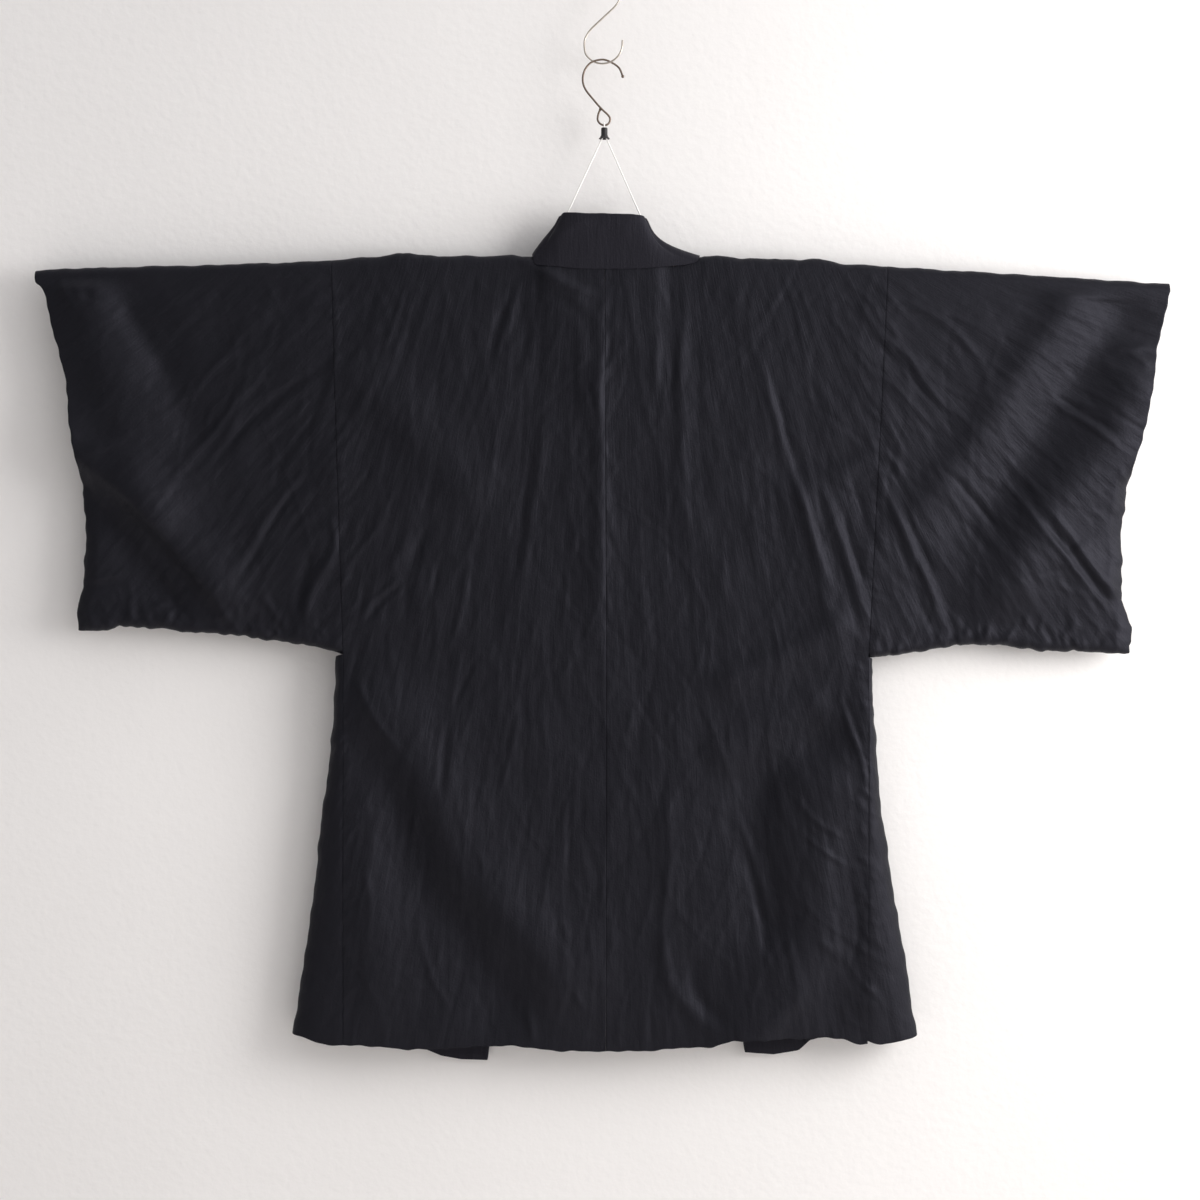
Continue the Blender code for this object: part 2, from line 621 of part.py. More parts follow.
cloth = finish("black crepe", BLACK_CLOTH, 0.85)
band = finish("black collar crepe", COLLAR_CLOTH, 0.85)
wood = finish("pale wood", PALE_WOOD, 0.5)
string = finish("white cotton string", WHITE_STRING, 0.8)
make_body(-1, "body_left", cloth)
make_body(1, "body_right", cloth)
make_sleeve(-1, "sleeve_left", cloth)
make_sleeve(1, "sleeve_right", cloth)
make_gusset(-1, "gusset_left", cloth)
make_gusset(1, "gusset_right", cloth)
make_collar("collar", band)
make_rod("hanger_rod", wood)
make_string(-1, "string_left", string)
make_string(1, "string_right", string)
make_bight("string_bight", string)
make_ferrule("ferrule", finish("black ferrule", BLACK_FERRULE, 0.45))
make_hook("hanger_hook", finish("brown steel wire", BROWN_WIRE, 0.4, 1.0))
make_s_hook("s_hook", finish("bright steel wire", BRIGHT_WIRE, 0.3, 1.0))
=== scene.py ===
"""Looks of a plain black haori jacket, spread flat along the rod of a kimono hanger that hangs in a wire S-hook.

Tables and sizes are in millimetres and the meshes in metres. The back of the jacket faces -Y. Side -1 is the side
of the wearer's left arm, which is -X, and side 1 is the other.
"""

from math import cos, pi, radians, sin

import bmesh
import bpy
import numpy as np
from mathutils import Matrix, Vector


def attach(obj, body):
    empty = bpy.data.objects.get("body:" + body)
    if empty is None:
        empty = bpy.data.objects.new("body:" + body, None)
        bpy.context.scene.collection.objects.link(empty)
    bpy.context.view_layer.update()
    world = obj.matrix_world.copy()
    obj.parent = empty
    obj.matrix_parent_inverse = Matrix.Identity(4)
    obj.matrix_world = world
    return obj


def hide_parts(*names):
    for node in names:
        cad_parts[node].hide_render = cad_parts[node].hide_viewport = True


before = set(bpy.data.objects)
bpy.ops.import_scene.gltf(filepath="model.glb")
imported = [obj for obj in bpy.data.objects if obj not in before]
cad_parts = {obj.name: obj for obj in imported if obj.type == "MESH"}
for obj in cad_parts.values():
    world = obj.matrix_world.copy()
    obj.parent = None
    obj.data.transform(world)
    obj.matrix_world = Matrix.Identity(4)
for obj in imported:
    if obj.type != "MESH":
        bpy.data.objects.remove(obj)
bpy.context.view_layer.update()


# ---- The S-hook ----
# A short length of bright drawn steel wire, 2 mm thick, bent cold into two open bends that mirror each other. Its
# upper bend hangs on a rail, and its cut ends are rounded off so that they don't catch the cloth.
MM = 0.001
S_HOOK_RADIUS = 1.0
S_HOOK_TURN = radians(-9)  # about the vertical, so that it passes the hanger's hook
S_HOOK_BEND = 22.1  # radius of each bend, and below it the heights of the two bends' middles
S_HOOK_LOWER_Z, S_HOOK_UPPER_Z = -78.9, -21.1
# From the middle of the S the wire runs over a shoulder, as (x, z, out), and into the bend, as angles round it.
S_HOOK_SHOULDER = ((-7.4, -56.6, 0), (-13.7, -62.4, 0), (-18.2, -68.8, 0), (-20.9, -76.0, 0))
S_HOOK_TURNS = range(206, 368, 23)


def between(a, b, t):
    return a + (b - a) * t


def linear(code):
    """A hex sRGB colour, such as 8C8176, as the linear colour that Blender takes."""
    parts = [int(code[k : k + 2], 16) / 255 for k in (0, 2, 4)]
    return (*[c / 12.92 if c <= 0.04045 else ((c + 0.055) / 1.055) ** 2.4 for c in parts], 1)


def add_node(tree, kind, inputs=None, **settings):
    """Adds one node. inputs maps a socket's name or number to a value, or to the node or the output that feeds it."""
    made = tree.nodes.new(kind)
    for key, value in settings.items():
        setattr(made, key, value)
    for key, value in (inputs or {}).items():
        if isinstance(value, bpy.types.Node):
            value = value.outputs[0]
        if isinstance(value, bpy.types.NodeSocket):
            tree.links.new(value, made.inputs[key])
        else:
            made.inputs[key].default_value = value
    return made


def new_finish(name):
    """An empty material, its node tree and the Object coordinates that its patterns read."""
    finish = bpy.data.materials.new(name)
    finish.use_nodes = True
    tree = finish.node_tree
    tree.nodes.clear()
    return finish, tree, add_node(tree, "ShaderNodeTexCoord").outputs["Object"]


def surface(tree, shade, tones, height, strength, rise, settings):
    """A surface whose colour runs between two tones with the shade, and whose bumps rise with the height, in mm."""
    colour = add_node(tree, "ShaderNodeMix", {"Factor": shade}, data_type="RGBA")
    colour.inputs[6].default_value, colour.inputs[7].default_value = map(linear, tones)
    bump = add_node(tree, "ShaderNodeBump", {"Height": height, "Strength": strength, "Distance": rise * MM})
    feeds = {"Base Color": colour.outputs[2], "Normal": bump, **settings}
    return add_node(tree, "ShaderNodeBsdfPrincipled", feeds)


def close_finish(tree, shader):
    add_node(tree, "ShaderNodeOutputMaterial", {"Surface": shader})


def place(name, mesh, nodes):
    """Puts a finished mesh in the scene, in the room of the CAD nodes that it stands for."""
    made = bpy.data.objects.new(name, mesh)
    bpy.context.scene.collection.objects.link(made)
    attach(made, "root")
    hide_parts(*nodes)
    return made


def curve_through(spots, steps):
    """Points along a smooth curve through the given ones."""
    spots = [np.array(spot, float) for spot in spots]
    ends = [2 * spots[0] - spots[1]] + spots + [2 * spots[-1] - spots[-2]]
    path = []
    for p0, p1, p2, p3 in zip(ends, ends[1:], ends[2:], ends[3:]):
        for k in range(steps):
            t = k / steps
            bend = (2 * p0 - 5 * p1 + 4 * p2 - p3) * t**2 + (3 * p1 - p0 - 3 * p2 + p3) * t**3
            path.append(0.5 * (2 * p1 + (p2 - p0) * t + bend))
    path.append(spots[-1])
    return path


def turned(spots, angle):
    """A flat path of (x, z, out) rows, turned about the vertical through the origin."""
    return [(x * cos(angle) - out * sin(angle), x * sin(angle) + out * cos(angle), z) for x, z, out in spots]


def new_tree(name, inputs):
    """A Geometry Nodes tree with its named inputs, as (name, kind of socket)."""
    tree = bpy.data.node_groups.new(name, "GeometryNodeTree")
    for title, kind in inputs:
        tree.interface.new_socket(title, in_out="INPUT", socket_type="NodeSocket" + kind)
    tree.interface.new_socket("Geometry", in_out="OUTPUT", socket_type="NodeSocketGeometry")
    return tree, add_node(tree, "NodeGroupInput").outputs


def close_tree(tree, shape, material):
    whole = add_node(tree, "GeometryNodeRealizeInstances", {"Geometry": shape})
    smooth_faces = add_node(tree, "GeometryNodeSetShadeSmooth", {"Geometry": whole})
    done = add_node(tree, "GeometryNodeSetMaterial", {"Geometry": smooth_faces, "Material": material})
    add_node(tree, "NodeGroupOutput", {0: done})


def grown(tree, path, **inputs):
    """The plain mesh that a tree makes from a path of points in millimetres."""
    line = bpy.data.meshes.new("path")
    spots = [tuple(float(c) * MM for c in spot) for spot in path]
    line.from_pydata(spots, [(k, k + 1) for k in range(len(spots) - 1)], [])
    holder = bpy.data.objects.new("path", line)
    bpy.context.scene.collection.objects.link(holder)
    modifier = holder.modifiers.new("tree", "NODES")
    modifier.node_group = tree
    for item in tree.interface.items_tree:
        if item.in_out == "INPUT" and item.name.replace(" ", "_") in inputs:
            modifier[item.identifier] = inputs[item.name.replace(" ", "_")]
    graph = bpy.context.evaluated_depsgraph_get()
    mesh = bpy.data.meshes.new_from_object(holder.evaluated_get(graph))
    holder.modifiers.remove(modifier)
    bpy.data.objects.remove(holder)
    return mesh


def wire_tree():
    """A round wire along a path, with a ball on each end."""
    sizes = [("Path", "Geometry"), ("Wire Radius", "Float"), ("End Radius", "Float"), ("Step", "Float")]
    tree, given = new_tree("round wire", sizes + [("Finish", "Material")])
    path = add_node(tree, "GeometryNodeMeshToCurve", {"Mesh": given["Path"]})
    feeds = {"Curve": path, "Length": given["Step"]}
    path = add_node(tree, "GeometryNodeResampleCurve", feeds, mode="LENGTH")
    ring = add_node(tree, "GeometryNodeCurvePrimitiveCircle", {"Resolution": 20, "Radius": given["Wire Radius"]})
    tube = add_node(tree, "GeometryNodeCurveToMesh", {"Curve": path, "Profile Curve": ring})
    tube.inputs["Fill Caps"].default_value = True
    ball = add_node(tree, "GeometryNodeMeshUVSphere", {"Segments": 20, "Rings": 12, "Radius": given["End Radius"]})
    ends = add_node(tree, "GeometryNodeCurveEndpointSelection")
    feeds = {"Points": path, "Selection": ends, "Instance": ball}
    balls = add_node(tree, "GeometryNodeInstanceOnPoints", feeds)
    both = add_node(tree, "GeometryNodeJoinGeometry", {0: tube})
    tree.links.new(balls.outputs[0], both.inputs[0])
    close_tree(tree, both, given["Finish"])
    return tree


def drawn_wire(name, bright, dull, roughness):
    """Drawn steel wire: fine marks where the die and fingers have been, a little tarnish, and a soft gloss."""
    finish, tree, at = new_finish(name)
    tarnish = add_node(tree, "ShaderNodeTexNoise", {"Vector": at, "Scale": 1 / (5 * MM), "Detail": 4.0})
    marks = add_node(tree, "ShaderNodeTexNoise", {"Vector": at, "Scale": 1 / (0.7 * MM), "Detail": 2.0})
    feeds = {"Value": marks, "To Min": roughness - 0.06, "To Max": roughness + 0.14}
    gloss = add_node(tree, "ShaderNodeMapRange", feeds)
    metal = {"Metallic": 1.0, "Roughness": gloss}
    close_finish(tree, surface(tree, tarnish, (bright, dull), marks, 0.25, 0.05, metal))
    return finish


round_wire = wire_tree()
s_wire = drawn_wire("bright drawn steel wire", "D6CEC4", "ABA196", 0.3)
middle = (S_HOOK_LOWER_Z + S_HOOK_UPPER_Z) / 2
half = [(0.0, middle, 0), *S_HOOK_SHOULDER]
for turn in map(radians, S_HOOK_TURNS):
    half.append((S_HOOK_BEND * cos(turn), S_HOOK_LOWER_Z + S_HOOK_BEND * sin(turn), 0))
spots = [(-x, 2 * middle - z, 0) for x, z, _ in half[:0:-1]] + half
sizes = {"Wire_Radius": S_HOOK_RADIUS * MM, "End_Radius": S_HOOK_RADIUS * MM, "Step": 0.6 * MM}
mesh = grown(round_wire, curve_through(turned(spots, S_HOOK_TURN), 8), Finish=s_wire, **sizes)
place("s_hook_wire", mesh, ["s_hook"])


# ---- The hanger's hook ----
# Browner steel wire, 2.2 mm thick: a round bend with a small bead formed on its tip, a straight shank, and an eye
# closed on itself below, round which the hanger's string is looped.
HOOK_RADIUS, HOOK_TIP = 1.1, 1.7
HOOK_TURN = radians(9)
# The middle of the wire as (x, z, how far it stands out of its plane), from the tip to the end of the eye.
HOOK_WIRE = (
    (22.3, -114.6, 0), (18.4, -105.7, 0), (11.1, -100.2, 0), (0.0, -96.5, 0), (-13.0, -100.0, 0),
    (-20.6, -109.0, 0), (-22.8, -120.2, 0), (-19.8, -130.2, 0), (-11.3, -140.8, 0), (-2.4, -150.9, -0.6),
    (5.4, -158.0, -0.6), (8.1, -162.6, 0), (6.3, -167.6, 0), (1.8, -169.6, 0), (-3.0, -168.0, 0.3),
    (-5.8, -163.6, 1.0), (-4.9, -156.9, 1.7), (-2.6, -151.6, 2.2),
)  # fmt: skip

hook_wire = drawn_wire("dull brown steel wire", "8A7C70", "5A4D45", 0.34)
path = curve_through(turned(HOOK_WIRE, HOOK_TURN), 8)
sizes = {"Wire_Radius": HOOK_RADIUS * MM, "End_Radius": HOOK_TIP * MM, "Step": 0.6 * MM}
mesh = grown(round_wire, path, Finish=hook_wire, **sizes)
place("hanger_hook_wire", mesh, ["hanger_hook"])


# ---- The ferrule ----
# A small black cap of moulded plastic under the eye, which holds the two ends of the string together. Its foot
# flares out, is notched all round, and opens downwards.
STRING_MIDDLE_X = 1.5
NOTCHES = 12
FERRULE = (
    (0.0, -172.4), (2.8, -172.4), (3.2, -172.6), (3.5, -173.1), (3.6, -173.8), (3.6, -179.6), (3.9, -181.2),
    (4.8, -183.0), (6.2, -184.5), (6.4, -184.8), (6.2, -185.0), (5.5, -185.0), (4.2, -183.8), (2.9, -181.2),
    (1.2, -181.0), (0.0, -181.0),
)  # fmt: skip


def turned_cap():
    """The cap's profile turned round its axis, with notches pressed into its foot."""
    sides = 6 * NOTCHES
    points, faces = [], []
    for r, z in FERRULE:
        for k in range(sides):
            turn = 2 * pi * k / sides
            notch = 0.5 + 0.5 * cos(NOTCHES * turn)
            reach = r * (1 - 0.13 * notch * min(max((r - 4.0) / 1.6, 0.0), 1.0))
            points.append((STRING_MIDDLE_X + reach * cos(turn), reach * sin(turn), z))
    for ring in range(len(FERRULE) - 1):
        for k in range(sides):
            a, b = ring * sides + k, ring * sides + (k + 1) % sides
            faces.append((a, a + sides, b + sides, b))
    mesh = bpy.data.meshes.new("ferrule_cap")
    mesh.from_pydata([tuple(c * MM for c in point) for point in points], [], faces)
    work = bmesh.new()
    work.from_mesh(mesh)
    bmesh.ops.remove_doubles(work, verts=work.verts, dist=1e-6)
    bmesh.ops.recalc_face_normals(work, faces=work.faces)
    for face in work.faces:
        face.smooth = True
    work.to_mesh(mesh)
    work.free()
    return mesh


# Moulded plastic, black: nearly smooth, with a low sheen and a fine grain from the mould.
cap_finish, tree, at = new_finish("black moulded plastic")
grain = add_node(tree, "ShaderNodeTexNoise", {"Vector": at, "Scale": 1 / (0.5 * MM), "Detail": 3.0})
gloss = add_node(tree, "ShaderNodeMapRange", {"Value": grain, "To Min": 0.36, "To Max": 0.5})
bump = add_node(tree, "ShaderNodeBump", {"Height": grain, "Strength": 0.3, "Distance": 0.04 * MM})
feeds = {"Base Color": linear("1E1B1C"), "Roughness": gloss, "Normal": bump}
close_finish(tree, add_node(tree, "ShaderNodeBsdfPrincipled", feeds))
mesh = turned_cap()
mesh.materials.append(cap_finish)
place("ferrule_cap", mesh, ["ferrule"])


# ---- The string ----
# White cotton string of three strands laid together, 1.8 mm thick. It is looped over the eye, runs down through
# the ferrule, parts there, and each end is drawn taut to the rod and wound once round it.
STRING_RADIUS = 0.9
STRING_X = 62.0
STRING_PITCH = 6.0  # length in which the strands go once round
LEGS_TOP_Z, LEGS_PART_Z = -182.0, -188.6  # where the legs end inside the ferrule, and where they part below it
LEGS_TOP_X, LEGS_PART_X = 1.3, 4.4  # how far from the middle they are at those heights
BIGHT_Z = -172.1  # where the loop round the eye goes into the ferrule
COIL_TURN, COIL_SHIFT = 2 * pi * 30 / 31.8, 2.3  # the turn round the rod, and how far it runs along it
EYE_FOOT_Z = -169.6
ROD_RADIUS, ROD_HALF_LENGTH, ROD_MIDDLE_Z = 6.0, 618.0, -323.5
ROD_DROP = {-1: 17.0, 1: 32.0}  # how far each end of the bowed rod hangs, 630 mm out


def rod_z(x):
    drop = np.where(np.asarray(x) > 0, ROD_DROP[1], ROD_DROP[-1])
    return ROD_MIDDLE_Z - drop * (np.abs(x) / 630) ** 1.35


def string_tree():
    """Three round strands that wind about a path."""
    sizes = [("Path", "Geometry"), ("String Radius", "Float"), ("Pitch", "Float"), ("Step", "Float")]
    tree, given = new_tree("laid string", sizes + [("Finish", "Material")])
    path = add_node(tree, "GeometryNodeMeshToCurve", {"Mesh": given["Path"]})
    feeds = {"Curve": path, "Length": given["Step"]}
    path = add_node(tree, "GeometryNodeResampleCurve", feeds, mode="LENGTH")
    feeds = {"Geometry": path, "Amount": 3}
    strands = add_node(tree, "GeometryNodeDuplicateElements", feeds, domain="SPLINE")
    along = add_node(tree, "GeometryNodeSplineParameter").outputs["Length"]
    turns = add_node(tree, "ShaderNodeMath", {0: along, 1: given["Pitch"]}, operation="DIVIDE")
    share = add_node(tree, "ShaderNodeMath", {0: strands.outputs[1], 1: 1 / 3}, operation="MULTIPLY")
    turns = add_node(tree, "ShaderNodeMath", {0: turns, 1: share}, operation="ADD")
    angle = add_node(tree, "ShaderNodeMath", {0: turns, 1: 2 * pi}, operation="MULTIPLY")
    # A strand is half as thick as the string, and so is the spiral that it winds on.
    half = add_node(tree, "ShaderNodeMath", {0: given["String Radius"], 1: 0.5}, operation="MULTIPLY")
    square, tangent = add_node(tree, "GeometryNodeInputNormal"), add_node(tree, "GeometryNodeInputTangent")
    other = add_node(tree, "ShaderNodeVectorMath", {0: tangent, 1: square}, operation="CROSS_PRODUCT")
    parts = []
    for way, wave in ((square, "COSINE"), (other, "SINE")):
        size = add_node(tree, "ShaderNodeMath", {0: angle}, operation=wave)
        size = add_node(tree, "ShaderNodeMath", {0: size, 1: half}, operation="MULTIPLY")
        parts.append(add_node(tree, "ShaderNodeVectorMath", {0: way, "Scale": size}, operation="SCALE"))
    shift = add_node(tree, "ShaderNodeVectorMath", {0: parts[0], 1: parts[1]})
    laid = add_node(tree, "GeometryNodeSetPosition", {"Geometry": strands, "Offset": shift})
    ring = add_node(tree, "GeometryNodeCurvePrimitiveCircle", {"Resolution": 8, "Radius": half})
    tube = add_node(tree, "GeometryNodeCurveToMesh", {"Curve": laid, "Profile Curve": ring})
    tube.inputs["Fill Caps"].default_value = True
    close_tree(tree, tube, given["Finish"])
    return tree


# White cotton: matt, slightly warm, with a fuzz of fine fibres that catches the light.
string_finish, tree, at = new_finish("white cotton string")
fibres = add_node(tree, "ShaderNodeTexNoise", {"Vector": at, "Scale": 1 / (0.35 * MM), "Detail": 4.0})
cotton = {"Roughness": 0.85, "Sheen Weight": 0.3}
close_finish(tree, surface(tree, fibres, ("FDFCFA", "F0ECE7"), fibres, 0.5, 0.1, cotton))

laid_string = string_tree()
sizes = {"String_Radius": STRING_RADIUS * MM, "Pitch": STRING_PITCH * MM, "Step": 0.5 * MM}
for side, name in ((-1, "string_left"), (1, "string_right")):
    around = ROD_RADIUS + 0.3 + STRING_RADIUS
    x = side * STRING_X
    top = np.array((x, 0, rod_z(x) + around + 1.2))
    end = np.array((STRING_MIDDLE_X + side * LEGS_TOP_X, 0, LEGS_TOP_Z))
    bend = np.array((STRING_MIDDLE_X + side * LEGS_PART_X, 0, LEGS_PART_Z))
    path = [end, bend, between(bend, top, 0.5), top]
    for k in range(1, 31):
        turn = pi / 2 - COIL_TURN * k / 30
        shifted = x + side * COIL_SHIFT * k / 30
        path.append((shifted, around * cos(turn), rod_z(x) + around * sin(turn)))
    place("laid_" + name, grown(laid_string, path, Finish=string_finish, **sizes), [name])
around = HOOK_RADIUS + 0.3 + STRING_RADIUS
path = [(STRING_MIDDLE_X, -around, BIGHT_Z)]
for k in range(19):
    turn = pi * k / 18
    path.append((STRING_MIDDLE_X, -around * cos(turn), EYE_FOOT_Z + around * sin(turn)))
path.append((STRING_MIDDLE_X, around, BIGHT_Z))
place("laid_string_bight", grown(laid_string, path, Finish=string_finish, **sizes), ["string_bight"])


# ---- The rod ----
# A plain round rod of pale hardwood, 12 mm thick, turned and sanded, with rounded ends. The weight of the sleeves
# bows it a little, and the jacket hides all of it but its ends inside the cuffs.
rod_finish, tree, at = new_finish("sanded pale hardwood")
# The grain runs along the rod, in streaks about 1.5 mm apart and some 60 mm long.
stretch = add_node(tree, "ShaderNodeMapping", {"Vector": at, "Scale": (1 / (60 * MM), 1 / (1.5 * MM), 1 / (1.5 * MM))})
streaks = add_node(tree, "ShaderNodeTexNoise", {"Vector": stretch, "Scale": 1.0, "Detail": 5.0})
close_finish(tree, surface(tree, streaks, ("D3B58C", "A5845A"), streaks, 0.3, 0.1, {"Roughness": 0.48}))
path = [(x, 0, rod_z(x)) for x in np.linspace(-ROD_HALF_LENGTH, ROD_HALF_LENGTH, 120)]
sizes = {"Wire_Radius": ROD_RADIUS * MM, "End_Radius": ROD_RADIUS * 0.97 * MM, "Step": 10 * MM}
place("hanger_rod_wood", grown(round_wire, path, Finish=rod_finish, **sizes), ["hanger_rod"])


# ---- The body: two lengths of cloth ----
# Two straight lengths of black crepe over a lining, each cut in one piece from the back hem over the shoulder to the
# front hem. They are joined by the centre back seam, and half of the neck is cut out of each.
CLOTH_WALL, SEAM_GAP, PRESSED = 2.0, 0.04, 0.7
OVER_ROD = ROD_RADIUS + 0.5 + CLOTH_WALL / 2  # depth of the cloth where it lies on the rod
ARMPIT_Z = {-1: -760.5, 1: -763.5}
NECK_HALF = {-1: 77.0, 1: 90.0}
NECK_EASE, NECK_DIP = 4.0, 2.0  # the back neck stands clear of the rod, and its edge lies below it

# The outline, as (distance from the centre, height) or (height, distance from the centre).
CENTRE_SEAM = ((-324, 1.5), (-760, 3.5), (-1198, 3.0))
SIDE_SEAM = {
    -1: ((-328, 302.0), (-760.5, 288.5), (-1200, 288.0)),
    1: ((-330, 316.0), (-763.5, 294.0), (-1200, 292.7)),
}
FRONT_SIDE_SEAM = {-1: ((-760.5, 288.5), (-1185, 320.0)), 1: ((-763.5, 294.0), (-1185, 321.0))}
BACK_HEM = {
    -1: (
        (0, -1197.6), (48, -1197.6), (70, -1195.4), (115, -1191), (226, -1196), (248, -1193),
        (293, -1191), (315, -1188.7), (345, -1180),
    ),
    1: (
        (0, -1197.6), (41, -1197.6), (86, -1194.2), (130, -1192), (153, -1185.3), (264, -1182),
        (286, -1184.2), (308, -1189.8), (331, -1187.6), (350, -1182),
    ),
}
FRONT_HEM = {
    -1: ((130, -1213), (159, -1212), (181, -1208), (206, -1197.5), (226, -1190.5), (337, -1179)),
    1: ((160, -1204.3), (191, -1206.5), (219, -1202), (233, -1190), (286, -1180), (350, -1180)),
}
FRONT_EDGE = {-1: ((-324, 77), (-1213, 201)), 1: ((-324, 90), (-1206, 227))}
SLEEVE_BOTTOM = {
    -1: (
        (289, -760), (301, -755), (331, -747), (360, -743.8), (382, -740), (404, -736.8),
        (448, -734.6), (493, -729), (538, -726.8), (560, -732), (583, -732),
    ),
    1: (
        (294, -763), (353, -755.7), (375, -750), (420, -745.7), (442, -746.8), (486, -753.5),
        (531, -753.5), (575, -756.8),
    ),
}
TOP_LIFT = (  # the cloth bunches up off the rod here, as (x, height)
    (-640, 1), (-560, 0.5), (-480, 0), (-320, 0), (-262, 3), (-226, 6), (-190, 2.5), (-120, 1.5),
    (-101, 3), (-90, 0), (90, 0), (128, 3), (150, 1), (219, 3), (240, 5), (264, 1), (300, 0), (640, 0),
)  # fmt: skip

# The deep folds: height (under 0 for a trough), width to the left of the path and to the right of it, as seen from
# the back, and the points that each runs down through, as (x, z).
BACK_FOLDS = (
    (9.5, 34, 44, (-582, -300), (-573, -345), (-560, -400), (-545, -450), (-527, -500), (-512, -550), (-495, -600),
     (-470, -640)),
    (11, 14, 36, (-650, -470), (-565, -548), (-520, -588), (-478, -632), (-448, -668), (-425, -698), (-405, -740)),
    (-4, 22, 30, (-550, -310), (-536, -350), (-508, -400), (-482, -450), (-462, -500), (-445, -550)),
    (-7, 30, 13, (-620, -535), (-545, -612), (-512, -655), (-482, -695), (-460, -745)),
    (5.5, 22, 26, (545, -300), (522, -352), (500, -395), (475, -430), (455, -460), (435, -490), (415, -520),
     (395, -545), (370, -575), (315, -640)),
    (-6.5, 26, 36, (600, -340), (582, -378), (553, -420), (523, -462), (495, -505), (465, -543), (437, -580),
     (407, -615), (370, -652)),
    (11, 38, 42, (620, -415), (598, -455), (574, -500), (551, -540), (527, -570), (502, -602), (479, -636), (461, -672),
     (445, -738)),
    (3, 14, 16, (520, -635), (545, -665), (575, -696)),
    (10, 26, 45, (-280, -755), (-250, -820), (-230, -852), (-205, -886), (-180, -930), (-163, -970), (-143, -1002),
     (-110, -1042), (-75, -1078), (-47, -1122), (-36, -1180)),
    (-8, 42, 24, (-268, -845), (-242, -910), (-226, -950), (-210, -990), (-193, -1025), (-165, -1062), (-140, -1100),
     (-108, -1145), (-85, -1200)),
    (4.5, 26, 30, (-264, -850), (-259, -950), (-256, -1020), (-252, -1100), (-250, -1200)),
    (5, 26, 34, (-300, -420), (-258, -462), (-228, -495), (-200, -528), (-165, -560), (-120, -602)),
    (3, 18, 14, (-85, -315), (-48, -352), (-20, -382), (-11, -430), (-10, -510)),
    (1.3, 14, 14, (-12, -430), (-10, -520), (-9, -640), (-8, -780)),
    (2, 14, 16, (212, -560), (232, -640), (252, -735)),
    (5, 16, 20, (285, -715), (205, -758), (110, -800)), (5, 22, 26, (258, -800), (182, -842), (108, -880)),
    (-6.5, 46, 24, (285, -830), (240, -852), (200, -874), (172, -905), (166, -940), (172, -980), (182, -1030),
     (194, -1100)),
    (9, 45, 32, (268, -845), (250, -910), (243, -960), (239, -1010), (235, -1050), (223, -1090), (206, -1125),
     (175, -1170), (130, -1260)),
    (3.5, 26, 40, (284, -770), (292, -900), (298, -1040), (307, -1210)),
    (1.2, 14, 14, (78, -980), (74, -1060), (88, -1125), (118, -1172)),
)  # fmt: skip
FRONT_FOLDS = (
    (3, 24, 24, (-250, -420), (-240, -1100)), (3, 24, 24, (262, -420), (285, -1120)),
    (4.5, 24, 24, (-560, -380), (-400, -680)), (4.5, 24, 24, (560, -390), (400, -690)),
)  # fmt: skip
